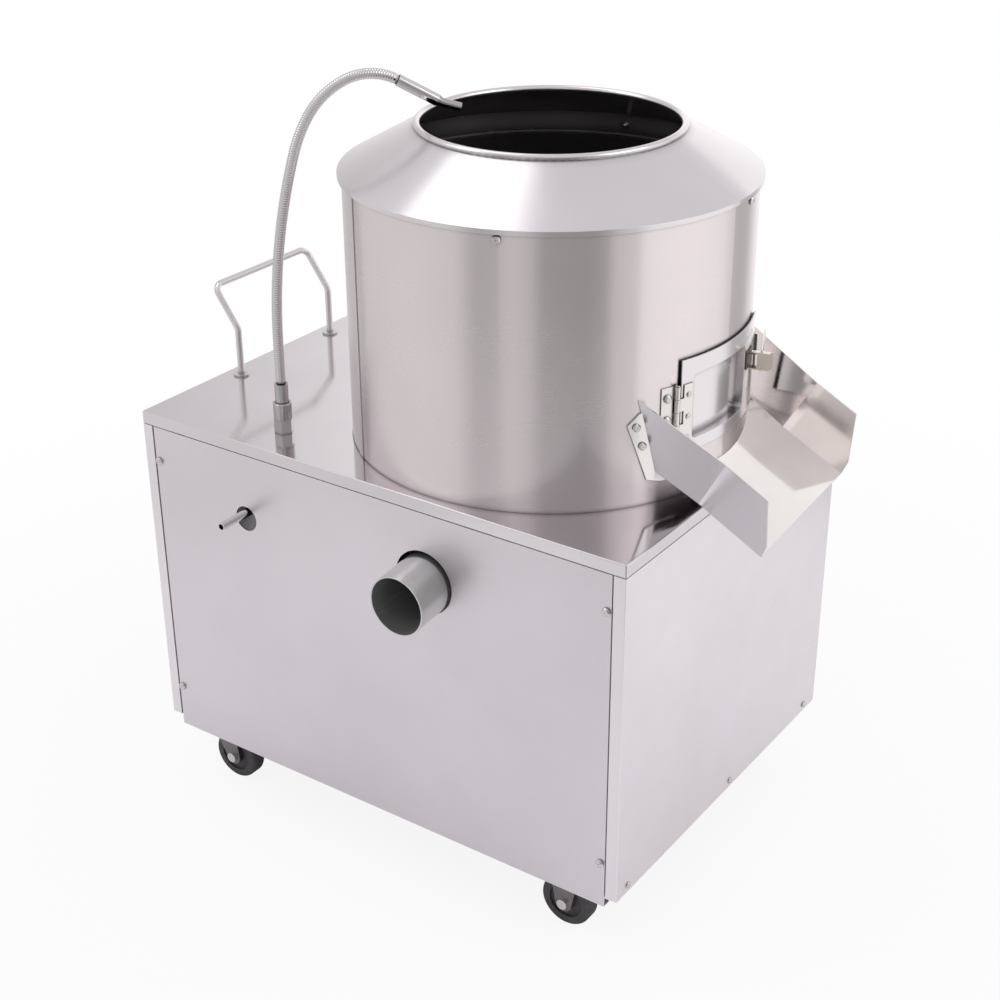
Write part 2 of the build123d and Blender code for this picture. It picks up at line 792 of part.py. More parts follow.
with BuildPart() as hinge_drum_leaf:
    with BuildSketch(drum_level(hinge_bottom)):
        sector(drum_radius + seat_gap, drum_leaf_outer, drum_leaf_start, drum_leaf_end)
    extrude(amount=hinge_top - hinge_bottom)
    for index in (0, 2, 4):
        with BuildSketch(leaf_plane(index)):
            sector(
                drum_radius + seat_gap, drum_leaf_outer, drum_leaf_end - leaf_overlap_turn, hinge_angle
            )
        extrude(amount=knuckle_length)
        with BuildSketch(knuckle_level(index)):
            Circle(hinge_barrel)
        extrude(amount=knuckle_length)
    with BuildSketch(knuckle_level(0)):
        Circle(hinge_pin_radius + running_gap)
    extrude(amount=hinge_top - hinge_bottom, mode=Mode.SUBTRACT)
    pierce(drum_leaf_screw_planes, screw_hole, screw_length)
hinge_drum_leaf.part.label = "hinge_drum_leaf"
export_step(hinge_drum_leaf.part, "parts/hinge_drum_leaf.step")

with BuildPart() as hinge_door_leaf:
    with BuildSketch(drum_level(hinge_bottom)):
        sector(door_outer + seat_gap, door_leaf_outer, door_leaf_start, door_leaf_end)
    extrude(amount=hinge_top - hinge_bottom)
    for index in (1, 3):
        with BuildSketch(leaf_plane(index)):
            sector(
                door_outer + seat_gap, door_leaf_outer, hinge_angle, door_leaf_start + leaf_overlap_turn
            )
        extrude(amount=knuckle_length)
        with BuildSketch(knuckle_level(index)):
            Circle(hinge_barrel)
        extrude(amount=knuckle_length)
    with BuildSketch(knuckle_level(0)):
        Circle(hinge_pin_radius + running_gap)
    extrude(amount=hinge_top - hinge_bottom, mode=Mode.SUBTRACT)
    pierce(door_leaf_screw_planes, screw_hole, screw_length)
hinge_door_leaf.part.label = "hinge_door_leaf"
export_step(hinge_door_leaf.part, "parts/hinge_door_leaf.step")

pin_head = 2.6
pin_head_height = 1.2
with BuildPart() as hinge_pin:
    with BuildSketch(Plane(origin=(hinge_axis.X, hinge_axis.Y, hinge_bottom))):
        Circle(hinge_pin_radius)
    extrude(amount=hinge_top - hinge_bottom)
    with BuildSketch(Plane(origin=(hinge_axis.X, hinge_axis.Y, hinge_top))):
        Circle(pin_head)
    extrude(amount=pin_head_height)
hinge_pin.part.label = "hinge_pin"
export_step(hinge_pin.part, "parts/hinge_pin.step")

leaf_screw_head = 2.8
leaf_screw_head_height = 1.3
dome_screws(
    "door_screws",
    door_leaf_screw_planes,
    leaf_screw_head,
    leaf_screw_head_height,
    screw_shank,
    door_leaf_outer - drum_radius - 2 * gasket_gap,
)

# Latch on the door: places are taken along the wall (t) and outward (n) from the door's face
latch_angle = 13.4
latch_axis_out = 7
latch_arm = 8
latch_pin = 1.25
latch_sheet = 1.2
latch_ear = 3
latch_lever_half = 10
latch_lever_tip = 28
latch_lever_back = 2.2
latch_base_start = 11.6
latch_base_end = 17.4
latch_ear_half = latch_lever_half - latch_sheet * 1.5 - seat_gap
bail_wire = 1
bail_half = 11.3
bail_reach = 61
bail_drop = 11.5
bail_bend = 2.5
keeper_lip = 7
keeper_lip_stand = 1.5
keeper_root = 2
keeper_trim = 1
keeper_half = 11
latch_frame = drum_wall(latch_angle, door_outer, latch_level)
latch_along = latch_frame.x_dir
latch_out = latch_frame.z_dir


def latch_plane(rise):
    """A level plane through the latch, with x outward and y along the wall."""
    origin = latch_frame.origin + Vector(0, 0, rise)
    return Plane(origin=origin, x_dir=latch_out, z_dir=(0, 0, 1))


# In these planes x points outward (n) and y along the wall (t)
with BuildPart() as latch_base:
    with BuildSketch(drum_level(latch_level - latch_lever_half)):
        sector(door_outer + seat_gap, door_outer + seat_gap + latch_sheet, latch_base_start, latch_base_end)
    extrude(amount=2 * latch_lever_half)
    for side in (-1, 1):
        with BuildSketch(latch_plane(side * latch_ear_half - latch_sheet / 2)):
            with Locations((latch_axis_out, 0)):
                Circle(latch_ear)
            with Locations(((latch_axis_out + seat_gap) / 2, 0)):
                Rectangle(latch_axis_out - seat_gap, 2 * latch_ear)
        extrude(amount=latch_sheet)
    with BuildSketch(latch_plane(-latch_lever_half + running_gap)):
        with Locations((latch_axis_out, 0)):
            Circle(latch_pin)
    extrude(amount=2 * latch_lever_half - 2 * running_gap)
latch_base.part.label = "latch_base"
export_step(latch_base.part, "parts/latch_base.step")

with BuildPart() as latch_lever:
    for side in (-1, 1):
        middle = side * (latch_lever_half - latch_sheet / 2)
        with BuildSketch(latch_plane(middle - latch_sheet / 2)):
            with Locations((latch_axis_out, 0)):
                Circle(latch_ear)
            with Locations(((latch_axis_out + latch_lever_tip - latch_ear) / 2, 0)):
                Rectangle(latch_lever_tip - latch_ear - latch_axis_out, 2 * latch_ear)
            with Locations((latch_axis_out, 0)):
                Circle(latch_pin + running_gap, mode=Mode.SUBTRACT)
            with Locations((latch_axis_out + latch_arm, 0)):
                Circle(bail_wire + running_gap, mode=Mode.SUBTRACT)
        extrude(amount=latch_sheet)
    with BuildSketch(latch_plane(-latch_lever_half)):
        web_foot = latch_axis_out + latch_ear
        with Locations(((web_foot + latch_lever_tip) / 2, latch_lever_back + latch_sheet / 2)):
            Rectangle(latch_lever_tip - web_foot, latch_sheet)
    extrude(amount=2 * latch_lever_half)
latch_lever.part.label = "latch_lever"
export_step(latch_lever.part, "parts/latch_lever.step")


def at_latch(out, along, rise):
    """A point from its places outward, along the wall and up at the latch."""
    return latch_frame.origin + latch_out * out + latch_along * along + Vector(0, 0, rise)


bail_pivot_out = latch_axis_out + latch_arm
bail_end_out = bail_pivot_out - bail_drop
bail_inner_end = latch_lever_half - latch_sheet
with BuildPart() as latch_bail:
    with BuildLine() as bail_path:
        FilletPolyline(
            at_latch(bail_pivot_out, 0, bail_inner_end),
            at_latch(bail_pivot_out, 0, bail_half + bail_wire),
            at_latch(bail_end_out, bail_reach, bail_half + bail_wire),
            at_latch(bail_end_out, bail_reach, -bail_half - bail_wire),
            at_latch(bail_pivot_out, 0, -bail_half - bail_wire),
            at_latch(bail_pivot_out, 0, -bail_inner_end),
            radius=bail_bend - bail_wire,
        )
    with BuildSketch(Plane(origin=bail_path.line @ 0, z_dir=bail_path.line % 0)):
        Circle(bail_wire)
    sweep()
latch_bail.part.label = "latch_bail"
export_step(latch_bail.part, "parts/latch_bail.step")

with BuildPart() as latch_keeper:
    with BuildSketch(drum_level(latch_level - keeper_half)):
        sector(drum_radius + seat_gap, keeper_outer, keeper_start, keeper_end)
    extrude(amount=2 * keeper_half)
    lip_along = bail_reach - latch_arm - bail_wire - safe_gap - latch_sheet / 2
    lip_top = bail_end_out - latch_arm + bail_wire + keeper_lip_stand
    with BuildSketch(latch_plane(-keeper_half + keeper_trim)):
        with Locations((lip_top - (keeper_lip + keeper_root) / 2, lip_along)):
            Rectangle(keeper_lip + keeper_root, latch_sheet)
    extrude(amount=2 * (keeper_half - keeper_trim))
    with BuildSketch(drum_level(latch_level - keeper_half)):
        Circle(drum_radius + seat_gap)
    extrude(amount=2 * keeper_half, mode=Mode.SUBTRACT)
    pierce(keeper_screw_planes, screw_hole, screw_length)
latch_keeper.part.label = "latch_keeper"
export_step(latch_keeper.part, "parts/latch_keeper.step")

# Discharge chute: a channel of bent sheet that widens towards the drum, with two screwed flanges
chute_fold = 85
chute_fold_half = 111
chute_flare = 5.9
chute_length = 205
chute_nose_back = 1.7
chute_nose_rise = 14.7
flange_start = 24
flange_end = 40.2
flange_height = 108
flange_middle = 33
flange_tip_rise = 94.6
flange_knee_rise = 29.3
flange_foot_rise = 24
flange_top_rise = 107
flange_outline = (
    (39.9, flange_tip_rise),
    (33.8, flange_knee_rise),
    (29.5, flange_foot_rise),
    (flange_start, flange_foot_rise),
    (flange_start, flange_top_rise),
    (36.4, flange_top_rise),
)
turn = radians(chute_turn)
slope = radians(chute_slope)
chute_out = Vector(cos(turn), sin(turn), 0)
chute_across = Vector(-sin(turn), cos(turn), 0)
chute_down = chute_out * cos(slope) - Vector(0, 0, sin(slope))
deck_edge_reach = (half_length - drum_right + chute_half_width * sin(turn)) / cos(turn)
mouth_level = (
    deck + safe_gap + chute_sheet / cos(slope) - (chute_reach - deck_edge_reach) * tan(slope)
)
chute_mouth = Vector(drum_x, drum_y, mouth_level) + chute_out * chute_reach
chute_end_half = chute_fold_half + (chute_length - chute_fold) * tan(radians(chute_flare))
chute_stations = (
    (-cut_overrun, chute_half_width),
    (chute_fold, chute_fold_half),
    (chute_length, chute_end_half),
)


def chute_station(distance):
    """The plane square to the chute's floor at a distance up from the mouth."""
    return Plane(origin=chute_mouth - chute_down * distance, x_dir=chute_across, z_dir=chute_down)


def channel_outline(half, height, floor, lean_out):
    """Draw a channel section: its floor, and wings that lean outward."""
    spread = tan(radians(chute_wing_lean))
    with BuildLine() as outline:
        Polyline(
            (-half - height * spread - lean_out, height),
            (-half - floor * spread - lean_out, floor),
            (half + floor * spread + lean_out, floor),
            (half + height * spread + lean_out, height),
            close=True,
        )
    make_face(outline.edges())


wing_thickness = chute_sheet / cos(radians(chute_wing_lean))
with BuildPart() as chute_space:
    for distance, half in chute_stations:
        with BuildSketch(chute_station(distance)):
            channel_outline(half, 2 * chute_wing_height, 0, 0)
    loft(ruled=True)


def flange_point(side, angle, rise):
    """A point of the flange's outline in the upright plane that faces its middle."""
    offset = radians(angle - flange_middle)
    return (side * drum_radius * sin(offset), rise)


chute_flanges = []
for side in (-1, 1):
    with BuildPart() as flange:
        first, last = sorted((side * flange_start, side * flange_end))
        with BuildSketch(drum_level(deck, chute_turn)):
            sector(drum_radius + seat_gap, flange_sheet_outer, first, last)
        extrude(amount=flange_height)
        with BuildSketch(drum_wall(chute_turn + side * flange_middle, drum_radius, deck)):
            with BuildLine():
                Polyline(*[flange_point(side, *place) for place in flange_outline], close=True)
            make_face()
        extrude(amount=drum_radius, both=True, mode=Mode.INTERSECT)
    chute_flanges.append(flange.part)

with BuildPart() as chute:
    for distance, half in chute_stations:
        with BuildSketch(chute_station(distance)):
            channel_outline(half, chute_wing_height, -chute_sheet, wing_thickness)
    loft(ruled=True)
    # The mouth is cut back towards the top of the wings
    with BuildSketch(Plane(origin=chute_mouth, x_dir=-chute_down, z_dir=chute_across)):
        with BuildLine():
            Polyline(
                (0, -cut_overrun),
                (0, 0),
                (chute_nose_back, chute_nose_rise),
                (chute_front_top, chute_wing_height + cut_overrun),
                (chute_length + cut_overrun, chute_wing_height + cut_overrun),
                (chute_length + cut_overrun, -cut_overrun),
                close=True,
            )
        make_face()
    extrude(amount=chute_length, both=True, mode=Mode.INTERSECT)
    add(chute_flanges, mode=Mode.ADD)
    add(chute_space.part, mode=Mode.SUBTRACT)
    with BuildSketch(drum_level(deck - deck_fold)):
        Circle(drum_radius + seat_gap)
    extrude(amount=drum_rise, mode=Mode.SUBTRACT)
    pierce(chute_screw_planes, screw_hole, screw_length)
chute.part.label = "chute"
export_step(chute.part, "parts/chute.step")

# Push handle: bent round bar with a round flange welded on at each foot
handle_leg = 61
handle_height = 109
handle_low_bend = 14
handle_top_bend = 12
handle_flange = 10
handle_flange_thickness = 2.5
handle_grip_x = -half_length - handle_overhang
handle_bar_radius = handle_bar / 2

with BuildPart() as push_handle:
    with BuildLine() as handle_path:
        FilletPolyline(
            level(handle_foot_x, handle_front, deck).origin,
            level(handle_foot_x, handle_front, deck + handle_leg).origin,
            level(handle_grip_x, handle_front, deck + handle_height).origin,
            level(handle_grip_x, handle_back, deck + handle_height).origin,
            level(handle_foot_x, handle_back, deck + handle_leg).origin,
            level(handle_foot_x, handle_back, deck).origin,
            radius=[handle_low_bend, handle_top_bend, handle_top_bend, handle_low_bend],
        )
    with BuildSketch(level(handle_foot_x, handle_front, deck)):
        Circle(handle_bar_radius)
    sweep()
    for foot_y in (handle_front, handle_back):
        with BuildSketch(level(handle_foot_x, foot_y, deck)):
            Circle(handle_flange)
        extrude(amount=handle_flange_thickness)
push_handle.part.label = "push_handle"
export_step(push_handle.part, "parts/push_handle.step")

# Gooseneck that sprays water into the drum: it swivels in the collar on its base
neck_turn = 40
neck_bore = 3.5
base_bore = 4
collar_chamfer = 1.2
neck_hex = 20
neck_hex_height = 17.5
neck_shank_length = 32
neck_collar = 11
neck_collar_top = 37.5
neck_spigot = 5
neck_spigot_length = 15
neck_ferrule = 8
neck_ferrule_height = 22.2
hose_crest = 6
hose_valley = 5.1
hose_ribs = 82
rib_rise_share = 0.25
rib_crest_share = 0.6
rib_fall_share = 0.85
hose_stem_radius = 787
hose_lean_radius = 170
hose_shoulder_radius = 97
hose_crown_radius = 61
hose_arcs = (
    (hose_stem_radius, 15.8),
    (hose_lean_radius, 15.2),
    (hose_shoulder_radius, 32),
    (hose_crown_radius, 55.7),
)
hose_straight = 50
hose_plain_end = 12
locknut_hex = 24
locknut_height = 6
neck_x = cabinet_x + gooseneck_x
neck_y = cabinet_y + gooseneck_y
neck_out = Vector(cos(radians(neck_turn)), sin(radians(neck_turn)), 0)
neck_side = Vector(sin(radians(neck_turn)), -cos(radians(neck_turn)), 0)
ferrule_bottom = deck + neck_collar_top + safe_gap
hose_bottom = ferrule_bottom + neck_ferrule_height


def neck_level(z):
    """A level plane on the gooseneck's upright axis."""
    return Plane(origin=(neck_x, neck_y, z))


def neck_place(out, rise):
    """A point in the gooseneck's upright plane, from the hose's lower end."""
    return Vector(neck_x, neck_y, hose_bottom + rise) + neck_out * out


def hose_station(distance):
    """The plane square to the hose at a distance along its middle line."""
    out = 0
    rise = min(distance, hose_straight)
    heading = 0
    left = distance - rise
    for bend_radius, bend_turn in hose_arcs:
        turned = min(left / bend_radius, radians(bend_turn))
        out += bend_radius * (cos(heading) - cos(heading + turned))
        rise += bend_radius * (sin(heading + turned) - sin(heading))
        heading += turned
        left -= turned * bend_radius
    direction = neck_out * sin(heading) + Vector(0, 0, cos(heading))
    place = neck_place(out, rise) + direction * left
    return Plane(origin=place, x_dir=neck_side, z_dir=direction)


hose_length = hose_straight + sum(radius * radians(bend) for radius, bend in hose_arcs)

with BuildPart() as gooseneck_base:
    with BuildSketch(neck_level(deck)):
        RegularPolygon(neck_hex / sqrt(3), 6)
    extrude(amount=neck_hex_height)
    with BuildSketch(neck_level(deck - neck_shank_length)):
        Circle(gooseneck_shank)
    extrude(amount=neck_shank_length)
    with BuildSketch(neck_level(deck - neck_shank_length)):
        Circle(base_bore)
    extrude(amount=neck_shank_length + neck_hex_height, mode=Mode.SUBTRACT)
gooseneck_base.part.label = "gooseneck_base"
export_step(gooseneck_base.part, "parts/gooseneck_base.step")

with BuildPart() as gooseneck_collar:
    with BuildSketch(neck_level(deck + neck_hex_height)):
        ring(neck_collar, neck_spigot + running_gap)
    extrude(amount=neck_collar_top - neck_hex_height)
    chamfer(gooseneck_collar.edges().group_by(Axis.Z)[-1].sort_by(SortBy.RADIUS)[-1], collar_chamfer)
gooseneck_collar.part.label = "gooseneck_collar"
export_step(gooseneck_collar.part, "parts/gooseneck_collar.step")

with BuildPart() as gooseneck_ferrule:
    with BuildSketch(neck_level(ferrule_bottom - neck_spigot_length)):
        ring(neck_spigot, neck_bore)
    extrude(amount=neck_spigot_length)
    with BuildSketch(neck_level(ferrule_bottom)):
        ring(neck_ferrule, neck_bore)
    extrude(amount=neck_ferrule_height)
gooseneck_ferrule.part.label = "gooseneck_ferrule"
export_step(gooseneck_ferrule.part, "parts/gooseneck_ferrule.step")

rib_pitch = (hose_length - 2 * hose_plain_end) / hose_ribs
with BuildPart() as gooseneck_hose:
    rib_stations = [(0, hose_valley)]
    for rib in range(hose_ribs):
        rib_start = hose_plain_end + rib * rib_pitch
        rib_stations.append((rib_start, hose_valley))
        rib_stations.append((rib_start + rib_pitch * rib_rise_share, hose_crest))
        rib_stations.append((rib_start + rib_pitch * rib_crest_share, hose_crest))
        rib_stations.append((rib_start + rib_pitch * rib_fall_share, hose_valley))
    rib_stations.append((hose_length, hose_valley))
    for distance, radius in rib_stations:
        with BuildSketch(hose_station(distance)):
            Circle(radius)
    loft(ruled=True)
with BuildPart() as hose_bore:
    bore_steps = 48
    for step in range(bore_steps + 1):
        with BuildSketch(hose_station(hose_length * step / bore_steps)):
            Circle(neck_bore)
    loft(ruled=True)
with gooseneck_hose:
    add(hose_bore.part, mode=Mode.SUBTRACT)
gooseneck_hose.part.label = "gooseneck_hose"
export_step(gooseneck_hose.part, "parts/gooseneck_hose.step")

sleeve_radius = 6.6
sleeve_length = 47.5
tip_radius = 4.8
tip_collar = 6
tip_bend_radius = 8
tip_lift = 12
tip_run = 4
tip_length = 26
hose_end = hose_station(hose_length)
sleeve_end = hose_end.offset(sleeve_length)

with BuildPart() as nozzle_sleeve:
    with BuildSketch(hose_end):
        ring(sleeve_radius, neck_bore)
    extrude(amount=sleeve_length)
nozzle_sleeve.part.label = "nozzle_sleeve"
export_step(nozzle_sleeve.part, "parts/nozzle_sleeve.step")

tip_heading = hose_end.z_dir.rotate(Axis((0, 0, 0), neck_side), tip_lift)
tip_bend = sleeve_end.origin + sleeve_end.z_dir * tip_run
with BuildPart() as nozzle_tip:
    with BuildLine() as tip_path:
        FilletPolyline(
            sleeve_end.origin,
            tip_bend,
            tip_bend + tip_heading * (tip_length - tip_run),
            radius=tip_bend_radius,
        )
    with BuildSketch(sleeve_end):
        ring(tip_radius, neck_bore)
    sweep()
    with BuildSketch(sleeve_end):
        ring(tip_collar, neck_bore)
    extrude(amount=tip_run / 2)
nozzle_tip.part.label = "nozzle_tip"
export_step(nozzle_tip.part, "parts/nozzle_tip.step")

# Water inlet pipe from the front up to the gooseneck
inlet_reach = 43
inlet_radius = 5
inlet_bend = 14
inlet_drop = 66
inlet_run_in = 23
with BuildPart() as water_pipe:
    with BuildLine() as inlet_path:
        FilletPolyline(
            level(inlet_x, -half_width - inlet_reach, inlet_level).origin,
            level(inlet_x, -half_width + inlet_run_in, inlet_level).origin,
            level(gooseneck_x, gooseneck_y, deck - inlet_drop).origin,
            level(gooseneck_x, gooseneck_y, deck - neck_shank_length).origin,
            radius=inlet_bend,
        )
    with BuildSketch(facing_back(inlet_x, -half_width - inlet_reach, inlet_level)):
        ring(inlet_radius, neck_bore)
    sweep()
water_pipe.part.label = "water_pipe"
export_step(water_pipe.part, "parts/water_pipe.step")

with BuildPart() as drain_pipe:
    with BuildSketch(drain_axis.offset(-half_width / 2)):
        ring(drain_radius, drain_radius - drain_wall)
    extrude(amount=half_width)
    with BuildSketch(drum_level(drum_bottom - deck_fold)):
        Circle(drum_inner)
    extrude(amount=drum_sink, mode=Mode.SUBTRACT)
    with BuildSketch(facing_front(drain_x, -half_width - pipe_reach, drain_level)):
        Rectangle(half_width, half_width)
    extrude(amount=half_width, mode=Mode.SUBTRACT)
drain_pipe.part.label = "drain_pipe"
export_step(drain_pipe.part, "parts/drain_pipe.step")

# Shaft and its bearings in a housing that stands through the drum's floor
housing_drop = 8
housing_top_depth = 20
housing_bottom = drum_bottom - housing_drop
housing_top = deck - housing_top_depth
shaft_radius = 12.5
shaft_fit = 0.03
shaft_depth = 196
shaft_bottom = deck - shaft_depth
bearing_outer = housing_tube - housing_tube_wall
bearing_width = 15
bearing_race = 4
bearing_inset = 2
upper_bearing_depth = 30
bearing_levels = (housing_bottom + bearing_inset, housing_top - upper_bearing_depth)
seal_width = 7
seal_inset = 1
disc_depth = 6
disc_level = deck - disc_depth

with BuildPart() as bearing_housing:
    with BuildSketch(drum_level(housing_bottom)):
        ring(housing_tube, bearing_outer)
    extrude(amount=housing_top - housing_bottom)
    with BuildSketch(drum_level(drum_bottom + drum_floor_sheet)):
        ring(housing_flange, bearing_outer)
    extrude(amount=housing_flange_thickness)
    with BuildSketch(drum_level(drum_bottom)):
        with PolarLocations(housing_bolt_circle, housing_bolts):
            Circle(housing_bolt_hole)
    extrude(amount=drum_sink / 2, mode=Mode.SUBTRACT)
bearing_housing.part.label = "bearing_housing"
export_step(bearing_housing.part, "parts/bearing_housing.step")

with BuildPart() as shaft_bearings:
    for z in bearing_levels:
        with BuildSketch(drum_level(z)):
            ring(bearing_outer - shaft_fit, shaft_radius + shaft_fit)
        extrude(amount=bearing_width)
        # The gap between the races shows at both faces
        for face in (z, z + bearing_width - bearing_race / 2):
            with BuildSketch(drum_level(face)):
                ring(bearing_outer - bearing_race, shaft_radius + bearing_race)
            extrude(amount=bearing_race / 2, mode=Mode.SUBTRACT)
shaft_bearings.part.label = "shaft_bearings"
export_step(shaft_bearings.part, "parts/shaft_bearings.step")

with BuildPart() as shaft_seal:
    with BuildSketch(drum_level(housing_top - seal_width - seal_inset)):
        ring(bearing_outer - shaft_fit, shaft_radius + running_gap)
    extrude(amount=seal_width)
shaft_seal.part.label = "shaft_seal"
export_step(shaft_seal.part, "parts/shaft_seal.step")

# Peeling disc: a carrier with sweeping paddles below and a waved abrasive disc above
carrier_radius = 206
carrier_thickness = 6
carrier_hub = 27
carrier_hub_drop = 6
paddle_inner = 66
paddle_outer = 200
paddle_height = 62
paddle_thickness = 6
paddles = 3
disc_gap = 3.5
disc_thickness = 14
disc_rim_height = 34
disc_rim_start = 150
disc_waves = 3
wave_height = 20
wave_half_width = 44
wave_inner = 34
wave_outer = 186
wave_inner_share = 0.45
wave_sink = 1
cap_radius = 22
cap_height = 20
disc_radius = lining_inner - disc_gap

with BuildPart() as disc_carrier:
    with BuildSketch(drum_level(disc_level - carrier_thickness)):
        ring(carrier_radius, shaft_radius + shaft_fit)
    extrude(amount=carrier_thickness)
    with BuildSketch(drum_level(disc_level - carrier_thickness - carrier_hub_drop)):
        ring(carrier_hub, shaft_radius + shaft_fit)
    extrude(amount=carrier_hub_drop)
    with BuildSketch(drum_level(disc_level - carrier_thickness - paddle_height)):
        with PolarLocations((paddle_inner + paddle_outer) / 2, paddles):
            Rectangle(paddle_outer - paddle_inner, paddle_thickness)
    extrude(amount=paddle_height)
disc_carrier.part.label = "disc_carrier"
export_step(disc_carrier.part, "parts/disc_carrier.step")

disc_top = disc_level + disc_thickness
with BuildPart() as abrasive_disc:
    with BuildSketch(Plane(origin=(drum_x, drum_y, 0), x_dir=(1, 0, 0), z_dir=(0, -1, 0))):
        with BuildLine():
            Polyline(
                (shaft_radius + shaft_fit, disc_level),
                (disc_radius, disc_level),
                (disc_radius, disc_top + disc_rim_height),
                (disc_radius - disc_thickness / 2, disc_top + disc_rim_height),
                (disc_rim_start, disc_top),
                (shaft_radius + shaft_fit, disc_top),
                close=True,
            )
        make_face()
    revolve(axis=Axis((drum_x, drum_y, 0), (0, 0, 1)))
with BuildPart() as disc_wave:
    # One wave is a low arch that runs outward and dies into the rim
    for reach, share in ((wave_inner, wave_inner_share), (wave_outer, 1)):
        foot = drum_level(disc_top - wave_sink)
        face = Plane(origin=foot.origin + foot.x_dir * reach, x_dir=(0, 1, 0), z_dir=(1, 0, 0))
        with BuildSketch(face):
            with BuildLine():
                ThreePointArc(
                    (-wave_half_width * share, 0),
                    (0, wave_height),
                    (wave_half_width * share, 0),
                )
                Line((wave_half_width * share, 0), (-wave_half_width * share, 0))
            make_face()
    loft()
with abrasive_disc:
    for index in range(disc_waves):
        wave_turn = index * 360 / disc_waves
        add(disc_wave.part.rotate(Axis((drum_x, drum_y, 0), (0, 0, 1)), wave_turn))
abrasive_disc.part.label = "abrasive_disc"
export_step(abrasive_disc.part, "parts/abrasive_disc.step")

with BuildPart() as disc_cap:
    with BuildSketch(drum_level(disc_top)):
        Circle(cap_radius)
    extrude(amount=cap_height / 2)
    with BuildSketch(drum_level(disc_top + cap_height / 2)):
        Circle(cap_radius)
    extrude(amount=cap_height / 2, taper=40)
disc_cap.part.label = "disc_cap"
export_step(disc_cap.part, "parts/disc_cap.step")

# Belt drive from the motor, which hangs under its plate beside the drum's shaft
pulley_width = 26
driven_pulley_radius = 108
motor_pulley_radius = 33
groove_depth = 11
groove_mouth = 15
groove_foot = 11
belt_height = 8.4
belt_depth = 8
belt_gap = 0.4
groove_overrun = 1
web_holes = 6
web_hole_share = 1.6
motor_distance_share = 16 / 23
motor_radius = 75
motor_bottom = 104
motor_shaft_radius = 9.5
motor_plate_width = 200
motor_flange = 88
motor_flange_thickness = 10
motor_bolt_circle = 78
motor_bolt = 4
motor_fins = 24
fin_height = 7
fin_width = 3
fin_root = 2
cowl_height = 46
cowl_round = 8
motor_x = -(half_length + drum_right - motor_radius) * motor_distance_share
motor_plate_level = mid_rail_height + frame_angle
belt_level = pulley_level + pulley_width / 2
motor_centre = Vector(drum_x + motor_x, drum_y, 0)


def motor_level(z):
    """A level plane on the motor's axis."""
    return Plane(origin=(motor_centre.X, motor_centre.Y, z))


def pulley(plane, radius, bore):
    """Turn a one-groove pulley with a straight bore."""
    with BuildPart() as turned:
        with BuildSketch(plane):
            ring(radius, bore)
        extrude(amount=pulley_width)
        upright = Plane(
            origin=plane.origin + Vector(0, 0, pulley_width / 2), x_dir=(1, 0, 0), z_dir=(0, -1, 0)
        )
        with BuildSketch(upright):
            with BuildLine():
                Polyline(
                    (radius + groove_overrun, groove_mouth / 2),
                    (radius - groove_depth, groove_foot / 2),
                    (radius - groove_depth, -groove_foot / 2),
                    (radius + groove_overrun, -groove_mouth / 2),
                    close=True,
                )
            make_face()
        revolve(axis=Axis(plane.origin, (0, 0, 1)), mode=Mode.SUBTRACT)
    return turned.part


with BuildPart() as driven_pulley:
    add(pulley(drum_level(pulley_level), driven_pulley_radius, shaft_radius + shaft_fit))
    # Round holes lighten the web
    with BuildSketch(drum_level(pulley_level)):
        with PolarLocations((shaft_radius + driven_pulley_radius - groove_depth) / 2, web_holes):
            Circle(groove_depth * web_hole_share)
    extrude(amount=pulley_width, mode=Mode.SUBTRACT)
driven_pulley.part.label = "driven_pulley"
export_step(driven_pulley.part, "parts/driven_pulley.step")

with BuildPart() as motor_pulley:
    add(pulley(motor_level(pulley_level), motor_pulley_radius, motor_shaft_radius + shaft_fit))
motor_pulley.part.label = "motor_pulley"
export_step(motor_pulley.part, "parts/motor_pulley.step")

with BuildPart() as main_shaft:
    with BuildSketch(drum_level(shaft_bottom)):
        Circle(shaft_radius)
    extrude(amount=disc_top - shaft_bottom)
main_shaft.part.label = "main_shaft"
export_step(main_shaft.part, "parts/main_shaft.step")

belt_inner_drum = driven_pulley_radius - groove_depth + belt_gap
belt_inner_motor = motor_pulley_radius - groove_depth + belt_gap
with BuildPart() as v_belt:
    with BuildSketch(drum_level(belt_level - belt_height / 2)):
        Circle(belt_inner_drum + belt_depth)
        with Locations((motor_x, 0)):
            Circle(belt_inner_motor + belt_depth)
        make_hull()
    extrude(amount=belt_height)
with BuildPart() as belt_space:
    with BuildSketch(drum_level(belt_level - belt_height)):
        Circle(belt_inner_drum)
        with Locations((motor_x, 0)):
            Circle(belt_inner_motor)
        make_hull()
    extrude(amount=2 * belt_height)
with v_belt:
    add(belt_space.part, mode=Mode.SUBTRACT)
v_belt.part.label = "v_belt"
export_step(v_belt.part, "parts/v_belt.step")

with BuildPart() as motor_plate:
    with BuildSketch(Plane(origin=(motor_centre.X, cabinet_y, motor_plate_level))):
        Rectangle(motor_plate_width, 2 * (frame_half_width - frame_wall))
    extrude(amount=motor_plate_thickness)
    with BuildSketch(motor_level(motor_plate_level)):
        Circle(motor_pulley_radius)
        with PolarLocations(motor_bolt_circle, 4, start_angle=45):
            Circle(motor_bolt + seat_gap)
    extrude(amount=motor_plate_thickness, mode=Mode.SUBTRACT)
motor_plate.part.label = "motor_plate"
export_step(motor_plate.part, "parts/motor_plate.step")

